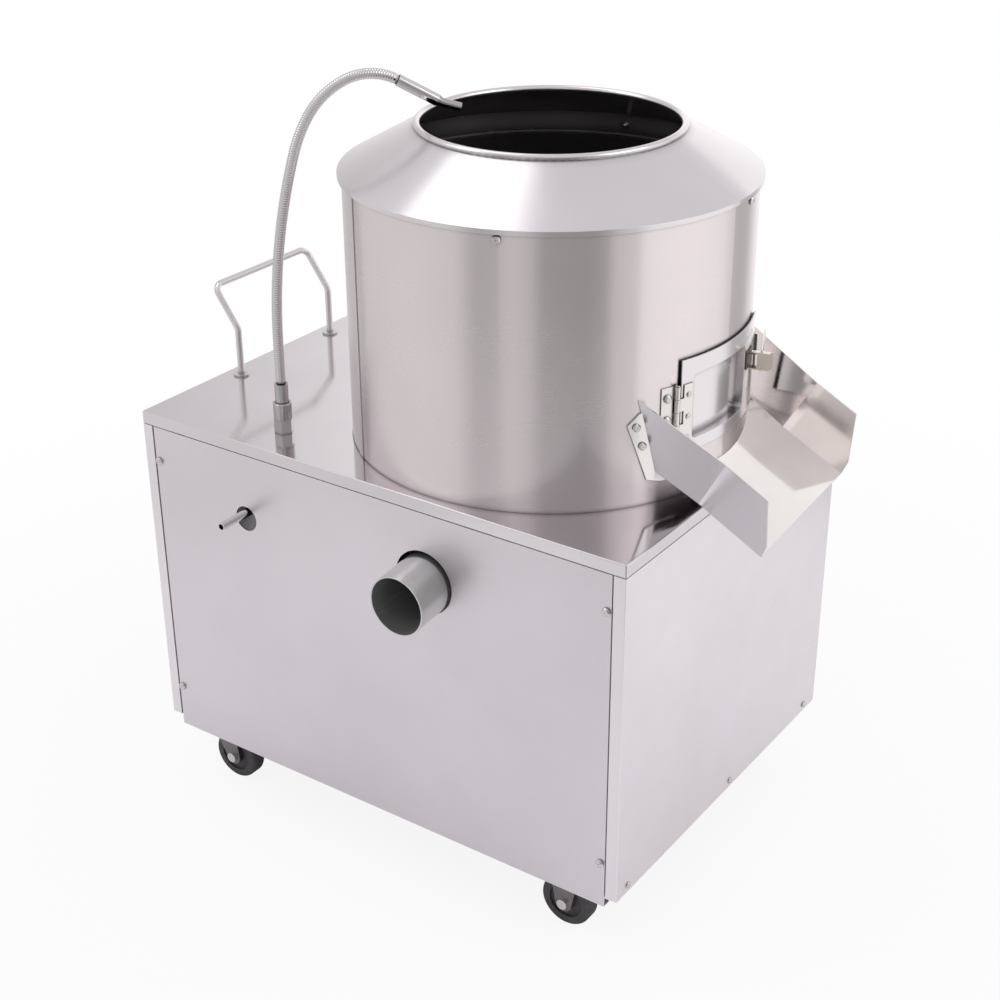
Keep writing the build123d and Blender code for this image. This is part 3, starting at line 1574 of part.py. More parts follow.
with BuildPart() as motor:
    with BuildSketch(motor_level(motor_bottom)):
        Circle(motor_radius)
    extrude(amount=cowl_height)
    fillet(motor.edges().group_by(Axis.Z)[0], cowl_round)
    with BuildSketch(motor_level(motor_bottom + cowl_height)):
        Circle(motor_radius - fin_height)
        with PolarLocations(motor_radius - (fin_height + fin_root) / 2, motor_fins):
            Rectangle(fin_height + fin_root, fin_width)
    extrude(amount=motor_plate_level - motor_flange_thickness - motor_bottom - cowl_height)
    with BuildSketch(motor_level(motor_plate_level - motor_flange_thickness)):
        Circle(motor_flange)
        with PolarLocations(motor_bolt_circle, 4, start_angle=45):
            Circle(motor_bolt + seat_gap, mode=Mode.SUBTRACT)
    extrude(amount=motor_flange_thickness)
    with BuildSketch(motor_level(motor_bottom + cowl_height)):
        Circle(motor_shaft_radius + shaft_fit)
    extrude(amount=motor_plate_level - motor_bottom - cowl_height, mode=Mode.SUBTRACT)
motor.part.label = "motor"
export_step(motor.part, "parts/motor.step")

with BuildPart() as motor_shaft:
    with BuildSketch(motor_level(motor_bottom + cowl_height + safe_gap)):
        Circle(motor_shaft_radius)
    extrude(amount=pulley_level + pulley_width - motor_bottom - cowl_height - safe_gap)
motor_shaft.part.label = "motor_shaft"
export_step(motor_shaft.part, "parts/motor_shaft.step")

# Hexagon bolts of the motor, the bearing housing and the casters, and the gooseneck's nut
bolt_head_height = 5
bolt_head_share = 1.7
caster_bolt_length = 7


def hex_bolt(plane, radius, length):
    """A hexagon bolt whose head rests on the plane and whose shank runs against it."""
    with BuildPart() as bolt:
        with BuildSketch(plane):
            RegularPolygon(radius * bolt_head_share, 6)
        extrude(amount=bolt_head_height)
        with BuildSketch(plane):
            Circle(radius)
        extrude(amount=-length)
    return bolt.part


housing_flange_top = drum_bottom + drum_floor_sheet + housing_flange_thickness
with BuildPart() as machine_bolts:
    for turn_step in range(housing_bolts):
        bolt_turn = turn_step * 360 / housing_bolts
        foot = drum_level(housing_flange_top, bolt_turn)
        foot.origin = foot.origin + foot.x_dir * housing_bolt_circle
        add(hex_bolt(foot, housing_bolt, housing_flange_thickness + drum_floor_sheet))
    for turn_step in range(4):
        bolt_turn = radians(45 + turn_step * 90)
        foot = motor_level(motor_plate_level + motor_plate_thickness)
        foot.origin = foot.origin + Vector(cos(bolt_turn), sin(bolt_turn), 0) * motor_bolt_circle
        add(hex_bolt(foot, motor_bolt, motor_plate_thickness + motor_flange_thickness))
    for x, y in pad_centres:
        for x_side in (-1, 1):
            for y_side in (-1, 1):
                bolt_x = x + x_side * caster_bolt_pitch / 2
                bolt_y = y + y_side * caster_bolt_pitch / 2
                foot = level(bolt_x, bolt_y, caster_height + pad_thickness)
                add(hex_bolt(foot, caster_bolt, caster_bolt_length))
    # The nut that holds the gooseneck's base under the deck
    with BuildSketch(neck_level(deck_under - locknut_height)):
        RegularPolygon(locknut_hex / sqrt(3), 6)
        Circle(gooseneck_shank + running_gap, mode=Mode.SUBTRACT)
    extrude(amount=locknut_height)
machine_bolts.part.label = "machine_bolts"
export_step(machine_bolts.part, "parts/machine_bolts.step")

# Casters: the two at the right are fixed, the two at the left swivel and trail
wheel_radius = 32.5
wheel_width = 21
wheel_hub_gap = 1
wheel_edge = 4
dish_outer_share = 0.66
dish_inner_share = 0.34
hub_share = 0.28
dish_depth_share = 1 / 7
axle_radius = 4
axle_head = 6.5
axle_head_height = 4
caster_plate = 60
caster_plate_thickness = 3
caster_plate_corner = 4
fork_sheet = 2.5
fork_side_gap = 2
fork_inner_half = wheel_width / 2 + fork_side_gap
fork_top_half = 22
fork_foot_radius = 11
race_radius = 20
race_height = 5
crown_radius = 23
crown_height = 4
king_radius = 4
king_head = 7
king_head_height = 4
plate_bottom = caster_height - caster_plate_thickness
race_bottom = plate_bottom - race_height
crown_top = race_bottom - safe_gap
crown_bottom = crown_top - crown_height


def fork_legs(x_top, y, x_wheel, top):
    """Two tapering legs from a crown down to the wheel's axle."""
    for side in (-1, 1):
        leg_back = y + side * (fork_inner_half + fork_sheet / 2) + fork_sheet / 2
        with BuildSketch(facing_front(0, leg_back, 0)) as leg:
            with BuildLine() as outline:
                Polyline(
                    (x_top - fork_top_half, top),
                    (x_top + fork_top_half, top),
                    (x_wheel + fork_foot_radius, wheel_radius),
                    (x_wheel - fork_foot_radius, wheel_radius),
                    close=True,
                )
            make_face(outline.edges())
            with Locations((x_wheel, wheel_radius)):
                Circle(fork_foot_radius)
                Circle(axle_radius + running_gap, mode=Mode.SUBTRACT)
        extrude(leg.sketch, amount=fork_sheet)


with BuildPart() as fixed_forks:
    for y in (-caster_y, caster_y):
        with BuildSketch(level(fixed_caster_x, y, plate_bottom)) as plate:
            RectangleRounded(caster_plate, caster_plate, caster_plate_corner)
            with GridLocations(caster_bolt_pitch, caster_bolt_pitch, 2, 2):
                Circle(caster_hole, mode=Mode.SUBTRACT)
        extrude(plate.sketch, amount=caster_plate_thickness)
        fork_legs(fixed_caster_x, y, fixed_caster_x, plate_bottom)
fixed_forks.part.label = "fixed_forks"
export_step(fixed_forks.part, "parts/fixed_forks.step")

with BuildPart() as swivel_plates:
    for y in (-caster_y, caster_y):
        with BuildSketch(level(swivel_axis_x, y, plate_bottom)):
            RectangleRounded(caster_plate, caster_plate, caster_plate_corner)
            with GridLocations(caster_bolt_pitch, caster_bolt_pitch, 2, 2):
                Circle(caster_hole, mode=Mode.SUBTRACT)
        extrude(amount=caster_plate_thickness)
        with BuildSketch(level(swivel_axis_x, y, race_bottom)):
            Circle(race_radius)
        extrude(amount=race_height)
        with BuildSketch(level(swivel_axis_x, y, crown_bottom - safe_gap - king_head_height)):
            Circle(king_radius)
        extrude(amount=race_bottom - crown_bottom + safe_gap + king_head_height)
        with BuildSketch(level(swivel_axis_x, y, crown_bottom - safe_gap - king_head_height)):
            RegularPolygon(king_head, 6)
        extrude(amount=king_head_height)
swivel_plates.part.label = "swivel_plates"
export_step(swivel_plates.part, "parts/swivel_plates.step")

swivel_wheel_x = swivel_axis_x + swivel_trail


def swivel_fork(name, y):
    """A fork that turns on the king bolt, with its wheel trailing behind."""
    with BuildPart() as fork:
        with BuildSketch(level(swivel_axis_x, y, crown_bottom)) as crown:
            ring(crown_radius, king_radius + running_gap)
        extrude(crown.sketch, amount=crown_height)
        fork_legs(swivel_axis_x, y, swivel_wheel_x, crown_top)
    fork.part.label = name
    export_step(fork.part, f"parts/{name}.step")


def caster_wheel(name, x, y):
    """A solid wheel with a dished face and a bored hub."""
    with BuildPart() as wheel:
        upright = facing_back(x, y - wheel_width / 2, wheel_radius)
        with BuildSketch(upright) as disc:
            Circle(wheel_radius)
        extrude(disc.sketch, amount=wheel_width)
        fillet(wheel.edges().filter_by(GeomType.CIRCLE), wheel_edge)
        for face in (upright, facing_front(x, y + wheel_width / 2, wheel_radius)):
            with BuildSketch(face) as dish:
                ring(wheel_radius * dish_outer_share, wheel_radius * dish_inner_share)
            extrude(dish.sketch, amount=wheel_width * dish_depth_share, mode=Mode.SUBTRACT)
        hub_half = fork_inner_half - wheel_hub_gap
        with BuildSketch(facing_back(x, y - hub_half, wheel_radius)) as hub:
            Circle(wheel_radius * hub_share)
        extrude(hub.sketch, amount=2 * hub_half)
        with BuildSketch(facing_back(x, y - wheel_width, wheel_radius)) as bore:
            Circle(axle_radius + running_gap)
        extrude(bore.sketch, amount=2 * wheel_width, mode=Mode.SUBTRACT)
    wheel.part.label = name
    export_step(wheel.part, f"parts/{name}.step")


def wheel_axle(name, places):
    """Axle bolts with a round head at the front and a nut behind."""
    half = fork_inner_half + fork_sheet
    with BuildPart() as axle:
        for x, y in places:
            with BuildSketch(facing_back(x, y - half, wheel_radius)) as shank:
                Circle(axle_radius)
            extrude(shank.sketch, amount=2 * half)
            with BuildSketch(facing_front(x, y - half, wheel_radius)) as head:
                Circle(axle_head)
            extrude(head.sketch, amount=axle_head_height)
            with BuildSketch(facing_back(x, y + half, wheel_radius)) as nut:
                RegularPolygon(axle_head, 6)
            extrude(nut.sketch, amount=axle_head_height)
    axle.part.label = name
    export_step(axle.part, f"parts/{name}.step")


for place, y in (("front", -caster_y), ("rear", caster_y)):
    swivel_fork(f"swivel_fork_{place}", y)
    caster_wheel(f"swivel_wheel_{place}", swivel_wheel_x, y)
    caster_wheel(f"fixed_wheel_{place}", fixed_caster_x, y)
    wheel_axle(f"swivel_axle_{place}", [(swivel_wheel_x, y)])
wheel_axle("fixed_axles", [(fixed_caster_x, -caster_y), (fixed_caster_x, caster_y)])

# Start and stop buttons on the left side, and the gland for the lead at the back
switch_plate_thickness = 3
switch_plate_corner = 6
switch_fit = 0.5
button_radius = 11
button_gap = 0.35
button_stand = 6
button_travel = 4
button_depth = 26
button_pitch = 44
stop_head_radius = 15
stop_head_height = 5
button_seat = 1
button_edge = 1.2
switch_box_depth = 34
gland_hex = 13
gland_thread = 10
gland_inside = 14
gland_nut_height = 5
gland_bore = 5

with BuildPart() as switch_plate:
    # A cover plate outside the panel with a closed box behind it
    with BuildSketch(facing_left(-half_length, switch_y, switch_level)):
        RectangleRounded(switch_plate_width, switch_plate_height, switch_plate_corner)
    extrude(amount=switch_plate_thickness)
    with BuildSketch(facing_left(-half_length, switch_y, switch_level)):
        Rectangle(
            switch_plate_width - 2 * (switch_opening_margin + switch_fit),
            switch_plate_height - 2 * (switch_opening_margin + switch_fit),
        )
    extrude(amount=-switch_box_depth)
    with BuildSketch(facing_left(-half_length + button_depth, switch_y, switch_level)):
        with GridLocations(button_pitch, button_pitch, 1, 2):
            Circle(button_radius + button_gap)
    extrude(amount=button_depth + switch_plate_thickness, mode=Mode.SUBTRACT)
switch_plate.part.label = "switch_plate"
export_step(switch_plate.part, "parts/switch_plate.step")

button_outer = -half_length - switch_plate_thickness - button_stand
button_root = -half_length + button_depth - button_travel - button_seat
for name, rise, head in (("start_button", 1, 0), ("stop_button", -1, stop_head_radius)):
    with BuildPart() as button:
        with BuildSketch(facing_left(button_root, switch_y, switch_level)):
            with Locations((0, rise * button_pitch / 2)):
                Circle(button_radius)
        extrude(amount=button_root - button_outer)
        if head:
            with BuildSketch(facing_left(button_outer, switch_y, switch_level)):
                with Locations((0, rise * button_pitch / 2)):
                    Circle(head)
            extrude(amount=stop_head_height)
        fillet(button.faces().sort_by(Axis.X)[0].edges(), button_edge)
    button.part.label = name
    export_step(button.part, f"parts/{name}.step")

with BuildPart() as cable_gland:
    with BuildSketch(facing_back(gland_x, half_width, gland_level)):
        RegularPolygon(gland_hex, 6)
    extrude(amount=gland_reach - gland_thread / 2)
    with BuildSketch(facing_back(gland_x, half_width - gland_inside, gland_level)):
        Circle(gland_thread)
    extrude(amount=gland_inside + gland_reach)
    with BuildSketch(facing_back(gland_x, half_width - skin_sheet - gland_nut_height, gland_level)):
        RegularPolygon(gland_hex, 6)
    extrude(amount=gland_nut_height)
    with BuildSketch(facing_back(gland_x, half_width - gland_inside, gland_level)):
        Circle(gland_bore)
    extrude(amount=gland_inside + gland_reach, mode=Mode.SUBTRACT)
cable_gland.part.label = "cable_gland"
export_step(cable_gland.part, "parts/cable_gland.step")
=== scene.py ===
from math import cos, pi, radians, sin, sqrt

import bmesh
import bpy
from mathutils import Matrix, Vector


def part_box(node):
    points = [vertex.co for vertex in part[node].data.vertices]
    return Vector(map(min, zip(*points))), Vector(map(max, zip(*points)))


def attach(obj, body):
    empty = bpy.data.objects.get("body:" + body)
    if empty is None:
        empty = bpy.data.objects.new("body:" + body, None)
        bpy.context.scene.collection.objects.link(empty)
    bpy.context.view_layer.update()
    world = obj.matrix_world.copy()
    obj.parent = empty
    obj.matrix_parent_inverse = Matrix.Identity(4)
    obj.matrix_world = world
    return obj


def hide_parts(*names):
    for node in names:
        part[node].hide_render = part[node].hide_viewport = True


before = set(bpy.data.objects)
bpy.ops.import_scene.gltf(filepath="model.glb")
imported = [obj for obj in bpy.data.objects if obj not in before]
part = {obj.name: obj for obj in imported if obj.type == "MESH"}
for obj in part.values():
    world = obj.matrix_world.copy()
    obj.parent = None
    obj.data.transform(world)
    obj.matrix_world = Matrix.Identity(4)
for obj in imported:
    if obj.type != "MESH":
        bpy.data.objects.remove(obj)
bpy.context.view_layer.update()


# Welded frame of angle steel with the plate that carries the motor.
# Mill-finished stainless, cut square, welded at the corners and left bare inside the cabinet.
# The helpers for finishes come first, because every later piece uses them too.
def node_of(mat, kind, **values):
    """Add a shader node, with its settings and socket values given by name."""
    node = mat.node_tree.nodes.new(kind)
    for key, value in values.items():
        if hasattr(node, key):
            setattr(node, key, value)
        else:
            node.inputs[key.replace("_", " ")].default_value = value
    return node


def join(mat, *ends):
    """Link sockets in pairs, from the first of each pair to the second."""
    for start, end in zip(ends[::2], ends[1::2]):
        mat.node_tree.links.new(start, end)


def shader_of(mat):
    return mat.node_tree.nodes["Principled BSDF"]


def blank_finish(name, tint, metallic, roughness):
    mat = bpy.data.materials.new(name)
    mat.use_nodes = True
    shader = shader_of(mat)
    shader.inputs["Base Color"].default_value = (*tint, 1)
    shader.inputs["Metallic"].default_value = metallic
    shader.inputs["Roughness"].default_value = roughness
    return mat, shader


def streak_noise(mat, spread, detail=5.0):
    """Noise laid on the object, drawn out wherever its spread is small."""
    where = node_of(mat, "ShaderNodeTexCoord")
    stretch = node_of(mat, "ShaderNodeMapping", Scale=spread)
    noise = node_of(mat, "ShaderNodeTexNoise", Scale=1.0, Detail=detail, Roughness=0.6)
    join(mat, where.outputs["Object"], stretch.inputs["Vector"])
    join(mat, stretch.outputs["Vector"], noise.inputs["Vector"])
    return noise.outputs["Fac"]


def spread_over(mat, value, low, high, start=0.3, end=0.7):
    """Stretch a value that runs from start to end so that it runs from low to high."""
    ramp = node_of(mat, "ShaderNodeMapRange", From_Min=start, From_Max=end, To_Min=low, To_Max=high)
    join(mat, value, ramp.inputs["Value"])
    return ramp.outputs["Result"]


def two_tints(mat, value, first, second):
    """Mix two tints, each a colour or a socket."""
    blend = node_of(mat, "ShaderNodeMix", data_type="RGBA")
    tint_a, tint_b = [s for s in blend.inputs if s.type == "RGBA"]
    for socket, shade in ((tint_a, first), (tint_b, second)):
        if isinstance(shade, tuple):
            socket.default_value = (*shade, 1)
        else:
            join(mat, shade, socket)
    join(mat, value, blend.inputs["Factor"])
    return [s for s in blend.outputs if s.type == "RGBA"][0]


# Share of the tint left in the deepest creases, where the steel finish paints shade.
crease_shade_share = 0.22
scratch_depth = 0.0001
bow_depth = 0.002
bow_spread = (4.0, 4.0, 4.0)
polished_by = -0.02
dulled_by = 0.03


def steel_finish(name, tint, roughness, grain, scratch=0.08, ripple=0.0, edge=0.0006, cloud=0.93, patch=5.0,
                 crease_shade=0.0, brush=0.15, shut=0.35, open_air=0.85):
    """Stainless steel with its rolling grain, faint clouding from handling and eased edges; given a crease reach, it
    darkens its creases and corners with painted shade.
    """
    mat, shader = blank_finish(name, tint, 1.0, roughness)
    fine = streak_noise(mat, grain, 6.0)
    patches = streak_noise(mat, (patch, patch, patch), 3.0)
    dull = tuple(cloud * c for c in tint)
    shade = two_tints(mat, spread_over(mat, patches, 0.0, 1.0), dull, tint)
    total = node_of(mat, "ShaderNodeMath", operation="ADD")
    # Ambient occlusion darkens the tint in creases and corners: painted shade.
    if crease_shade:
        corner = node_of(mat, "ShaderNodeAmbientOcclusion", samples=4, Distance=crease_shade)
        unshaded_share = spread_over(mat, corner.outputs["AO"], 0.0, 1.0, shut, open_air)
        shade = two_tints(mat, unshaded_share, tuple(crease_shade_share * c for c in tint), shade)
    join(mat, shade, shader.inputs["Base Color"])
    join(mat, spread_over(mat, fine, (1 - brush) * roughness, (1 + brush) * roughness), total.inputs[0])
    join(mat, spread_over(mat, patches, polished_by, dulled_by), total.inputs[1])
    join(mat, total.outputs["Value"], shader.inputs["Roughness"])
    eased = node_of(mat, "ShaderNodeBevel", samples=4, Radius=edge)
    last = node_of(mat, "ShaderNodeBump", Strength=scratch, Distance=scratch_depth)
    join(mat, fine, last.inputs["Height"], eased.outputs["Normal"], last.inputs["Normal"])
    if ripple:
        wave = node_of(mat, "ShaderNodeBump", Strength=ripple, Distance=bow_depth)
        join(mat, streak_noise(mat, bow_spread, 1.0), wave.inputs["Height"])
        join(mat, last.outputs["Normal"], wave.inputs["Normal"])
        last = wave
    join(mat, last.outputs["Normal"], shader.inputs["Normal"])
    return mat


def dull_finish(name, dark, light, spread, smooth, rough):
    """Paint, rubber or plastic, patchy in tint and in shine."""
    mat, shader = blank_finish(name, light, 0.0, rough)
    patches = streak_noise(mat, (spread, spread, spread), 4.0)
    join(mat, two_tints(mat, spread_over(mat, patches, 0.0, 1.0), dark, light), shader.inputs["Base Color"])
    join(mat, spread_over(mat, patches, smooth, rough), shader.inputs["Roughness"])
    return mat, patches


def add_bump(mat, height, strength, depth):
    """Let a value raise the surface of a finish that has no bump yet."""
    bump = node_of(mat, "ShaderNodeBump", Strength=strength, Distance=depth)
    join(mat, height, bump.inputs["Height"], bump.outputs["Normal"], shader_of(mat).inputs["Normal"])


def dress(finish, *names):
    """Put one finish on the whole of each named node."""
    for name in names:
        mesh = part[name].data
        mesh.materials.clear()
        mesh.materials.append(finish)


frame_steel = steel_finish("frame_mill_steel", (0.34, 0.33, 0.33), 0.42, (40.0, 40.0, 40.0), scratch=0.2)
dress(frame_steel, "frame", "motor_plate")


# Front, rear and side sheets of satin stainless, folded at their edges and screwed to the frame.
# The grain runs level, and the thin sheets bow a little between their folds.
satin_grain = (6.0, 6.0, 900.0)
# The front and rear sheets are tinted darker and the side sheets lighter, though they are one steel: painted shade
# and painted light for how each face is lit.
front_shaded_tint = (0.82, 0.785, 0.82)
side_lit_tint = (0.93, 0.895, 0.925)
front_sheet = steel_finish("front_sheet_shaded_steel", front_shaded_tint, 0.36, satin_grain, scratch=0.03, ripple=0.10)
side_sheet = steel_finish("side_sheet_lit_steel", side_lit_tint, 0.32, satin_grain, scratch=0.03, ripple=0.10)
dress(front_sheet, "front_panel", "rear_panel")
dress(side_sheet, "left_panel", "right_panel")


# Top plate: one sheet with its edges folded down, let in round the drum.
# The same stainless, left brighter, so that the drum and the chute mirror in it.
deck_grain = (4.0, 900.0, 900.0)
deck_tint = (0.83, 0.79, 0.82)
deck_sheet = steel_finish("deck_sheet_steel", deck_tint, 0.10, deck_grain, scratch=0.03, ripple=0.08, edge=0.0012)
dress(deck_sheet, "top_plate")


# Drum shell: a sheet rolled round and lap-welded down its left rear, with the floor welded in.
# Its grain runs round the drum, so each reflection is drawn out into an upright band.
rolled_grain = (2.0, 2.0, 1200.0)
quarter_turn = 0.25


def rolled_finish(name, tint, roughness, drawn, crease_shade, shut=0.35, open_air=0.85):
    """Steel rolled or spun round the machine's upright axis."""
    mat = steel_finish(name, tint, roughness, rolled_grain, scratch=0.001, ripple=0.03, cloud=0.95, crease_shade=crease_shade,
                       brush=0.02, shut=shut, open_air=open_air)
    shader = shader_of(mat)
    shader.inputs["Anisotropic"].default_value = drawn
    shader.inputs["Anisotropic Rotation"].default_value = quarter_turn
    round_it = node_of(mat, "ShaderNodeTangent", direction_type="RADIAL", axis="Z")
    join(mat, round_it.outputs["Tangent"], shader.inputs["Tangent"])
    return mat


# Its creases and corners are darkened with painted shade.
drum_sheet = rolled_finish("drum_sheet_steel", (0.83, 0.765, 0.775), 0.26, drawn=0.92, crease_shade=0.006)
dress(drum_sheet, "drum_shell")


# Lining of the drum and the peeling disc's face: dark rubber with grit cast into it.
# Both are glued on, and worn a little smoother where the potatoes run.
grit_dark = (0.008, 0.006, 0.006)
grit_light = (0.026, 0.021, 0.020)
lining_grit, grit = dull_finish("lining_grit", grit_dark, grit_light, 650.0, 0.45, 0.8)
add_bump(lining_grit, grit, 0.6, 0.0008)
dress(lining_grit, "drum_lining", "abrasive_disc")


# Hood: a spun cone with a lip over the drum, and a wire rolled into its mouth.
# Polished stainless, held by screws through its skirt; the groove under the wire and its other creases are darkened
# with painted shade.
hood_tint = (0.83, 0.795, 0.815)
hood_sheet = rolled_finish("hood_sheet_steel", hood_tint, 0.24, drawn=0.5, crease_shade=0.012, shut=0.60, open_air=0.96)
dress(hood_sheet, "hood")


# Spindle: turned shaft in ball bearings, cast housing, carrier and cap nut, and a rubber seal.
# The castings are grey-painted iron and the shaft is ground steel.
turned_steel = steel_finish("turned_steel", (0.70, 0.68, 0.67), 0.24, (150.0, 150.0, 600.0), scratch=0.12)
cast_iron = steel_finish("cast_iron_paint", (0.10, 0.11, 0.115), 0.55, (260.0, 260.0, 260.0), scratch=0.5)
dress(turned_steel, "main_shaft", "shaft_bearings", "disc_cap")
dress(cast_iron, "bearing_housing", "disc_carrier", "driven_pulley")
rubber_dark = (0.012, 0.012, 0.013)
rubber_light = (0.036, 0.034, 0.034)
black_rubber = dull_finish("black_rubber", rubber_dark, rubber_light, 60.0, 0.5, 0.72)[0]
dress(black_rubber, "shaft_seal")


# Drive: a flanged motor with its shaft and pulley, and the V-belt to the spindle.
# The motor's cast shell is sprayed grey-blue, with a fine peel in the paint.
paint_dark = (0.10, 0.135, 0.17)
paint_light = (0.13, 0.17, 0.21)
motor_paint, peel = dull_finish("motor_grey_paint", paint_dark, paint_light, 220.0, 0.38, 0.55)
add_bump(motor_paint, peel, 0.15, 0.0002)
dress(motor_paint, "motor")
dress(turned_steel, "motor_shaft")
dress(cast_iron, "motor_pulley")
dress(black_rubber, "v_belt")


# Discharge door: a curved sheet with a pan pressed in, on a strap hinge, over a rubber gasket.
# Bright stainless, bowed a little by the pressing; the steps of its pan and the creases of the hinge are darkened
# with painted shade.
door_grain = (6.0, 6.0, 700.0)
door_sheet = steel_finish("door_sheet_steel", (0.84, 0.81, 0.83), 0.15, door_grain, scratch=0.03, ripple=0.10,
                          edge=0.0007, crease_shade=0.012)
dress(door_sheet, "door")
dress(black_rubber, "door_gasket")
pressed_grain = (120.0, 120.0, 120.0)
bright_tint = (0.86, 0.83, 0.81)
bright_steel = steel_finish("bright_pressed_steel", bright_tint, 0.22, pressed_grain, scratch=0.04, crease_shade=0.004)
dress(bright_steel, "hinge_drum_leaf", "hinge_door_leaf", "hinge_pin")


# Toggle latch: a dark pressed base riveted to the door, a plated lever and its wire bail.
# The bail hooks behind the keeper on the drum.
lever_tint = (0.90, 0.86, 0.78)
latch_plate = steel_finish("latch_lever_steel", lever_tint, 0.30, pressed_grain, scratch=0.01, brush=0.05)
latch_dark = steel_finish("latch_base_steel", (0.20, 0.19, 0.18), 0.42, (90.0, 90.0, 90.0), scratch=0.2)
dress(latch_plate, "latch_lever")
dress(bright_steel, "latch_bail", "latch_keeper")
dress(latch_dark, "latch_base")


# Chute: one bent sheet with both wings, ruled from the doorway out to its mouth.
# Stainless, polished inside and left duller and rougher outside, screwed to the drum by its flanges; its
# downward-facing outside is also tinted darker, a painted shade.
chute_tint = (0.95, 0.905, 0.895)
outside_shaded_tint = (0.72, 0.705, 0.72)
outside_rougher = 0.16
chute_grain = (400.0, 9.0, 400.0)
chute_sheet = steel_finish("chute_sheet_steel", chute_tint, 0.08, chute_grain, scratch=0.04, ripple=0.16,
                           edge=0.0009, cloud=0.90, patch=9.0)
chute_shader = shader_of(chute_sheet)
polished = chute_shader.inputs["Base Color"].links[0].from_socket
smoothness = chute_shader.inputs["Roughness"].links[0].from_socket
facing_of = node_of(chute_sheet, "ShaderNodeTexCoord")
lean = node_of(chute_sheet, "ShaderNodeSeparateXYZ")
join(chute_sheet, facing_of.outputs["Normal"], lean.inputs[0])
# Faces that point downward get a darker tint, which is painted shade, and a rougher finish, which is real.
outside = spread_over(chute_sheet, lean.outputs["Z"], 1.0, 0.0, -0.12, 0.02)
join(chute_sheet, two_tints(chute_sheet, outside, polished, outside_shaded_tint), chute_shader.inputs["Base Color"])
rubbed = node_of(chute_sheet, "ShaderNodeMath", operation="MULTIPLY_ADD")
rubbed.inputs[1].default_value = outside_rougher
join(chute_sheet, outside, rubbed.inputs[0], smoothness, rubbed.inputs[2])
join(chute_sheet, rubbed.outputs["Value"], chute_shader.inputs["Roughness"])
dress(chute_sheet, "chute")


# Gooseneck: turned fittings, a bright nozzle sleeve and a bent tip, and the pipe that feeds it.
# Drawn and turned stainless, screwed together.
drawn_grain = (200.0, 200.0, 200.0)
drawn_tint = (0.80, 0.78, 0.785)
neck_grain = (150.0, 150.0, 700.0)
neck_tint = (0.55, 0.53, 0.535)
# Both steels have their creases and joints darkened with painted shade.
drawn_steel = steel_finish("drawn_bright_steel", drawn_tint, 0.09, drawn_grain, scratch=0.03, crease_shade=0.006)
neck_steel = steel_finish("turned_neck_steel", neck_tint, 0.14, neck_grain, scratch=0.05, crease_shade=0.004)
dress(drawn_steel, "nozzle_sleeve", "water_pipe")
dress(neck_steel, "gooseneck_base", "gooseneck_collar", "gooseneck_ferrule", "nozzle_tip")


# Hose of the gooseneck: wound from a thin profiled strip, so it is finely ribbed from end to end.
# Stainless strip over a rubber bore, pressed into the ferrule and the sleeve.
# Each arc is its radius and the degrees that it turns.
hose_turn = radians(40)
hose_out = Vector((cos(hose_turn), sin(hose_turn), 0.0))
hose_side = Vector((sin(hose_turn), -cos(hose_turn), 0.0))
hose_low, hose_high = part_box("gooseneck_ferrule")
hose_foot = Vector(((hose_low.x + hose_high.x) / 2, (hose_low.y + hose_high.y) / 2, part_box("gooseneck_hose")[0].z))
hose_straight = 0.050
hose_arcs = ((0.787, 15.8), (0.170, 15.2), (0.097, 32.0), (0.061, 55.7))
hose_length = hose_straight + sum(bend * radians(turned) for bend, turned in hose_arcs)
hose_cuff = 0.003
hose_pitch = 0.0027
hose_valley = 0.00535
hose_crest = 0.0060
hose_corners = 20
rib_profile = ((0.0, hose_valley), (0.28, hose_crest), (0.60, hose_crest), (0.88, hose_valley))


def hose_station(distance):
    """The middle and the heading of the hose at a distance from its foot."""
    out = 0.0
    rise = min(distance, hose_straight)
    heading = 0.0
    left = distance - rise
    for bend, turned in hose_arcs:
        swing = min(left / bend, radians(turned))
        out += bend * (cos(heading) - cos(heading + swing))
        rise += bend * (sin(heading + swing) - sin(heading))
        heading += swing
        left -= swing * bend
    ahead = hose_out * sin(heading) + Vector((0.0, 0.0, cos(heading)))
    return hose_foot + hose_out * out + Vector((0.0, 0.0, rise)), ahead


def skin_tube(pen, rings):
    """Join rings of corners into a closed tube."""
    count = len(rings[0])
    for first, second in zip(rings, rings[1:]):
        for i in range(count):
            j = (i + 1) % count
            pen.faces.new((first[i], first[j], second[j], second[i]))
    pen.faces.new(rings[0][::-1])
    pen.faces.new(rings[-1])


def placed(name, shape, finish, smooth=True):
    """Turn a bmesh into an object in the frame, with its finish on."""
    mesh = bpy.data.meshes.new(name)
    shape.normal_update()
    shape.to_mesh(mesh)
    shape.free()
    mesh.materials.append(finish)
    for face in mesh.polygons:
        face.use_smooth = smooth
    piece = bpy.data.objects.new(name, mesh)
    bpy.context.scene.collection.objects.link(piece)
    return piece


rib_stations = [(0.0, hose_valley)]
rib_start = hose_cuff
while rib_start + hose_pitch < hose_length - hose_cuff:
    rib_stations += [(rib_start + share * hose_pitch, radius) for share, radius in rib_profile]
    rib_start += hose_pitch
rib_stations.append((hose_length, hose_valley))
strip = bmesh.new()
rings = []
round_angles = [2 * pi * i / hose_corners for i in range(hose_corners)]
for distance, radius in rib_stations:
    middle, ahead = hose_station(distance)
    across = ahead.cross(hose_side)
    rings.append([strip.verts.new(middle + radius * (hose_side * cos(a) + across * sin(a))) for a in round_angles])
skin_tube(strip, rings)
bmesh.ops.recalc_face_normals(strip, faces=strip.faces)
hose_tint = (0.74, 0.725, 0.73)
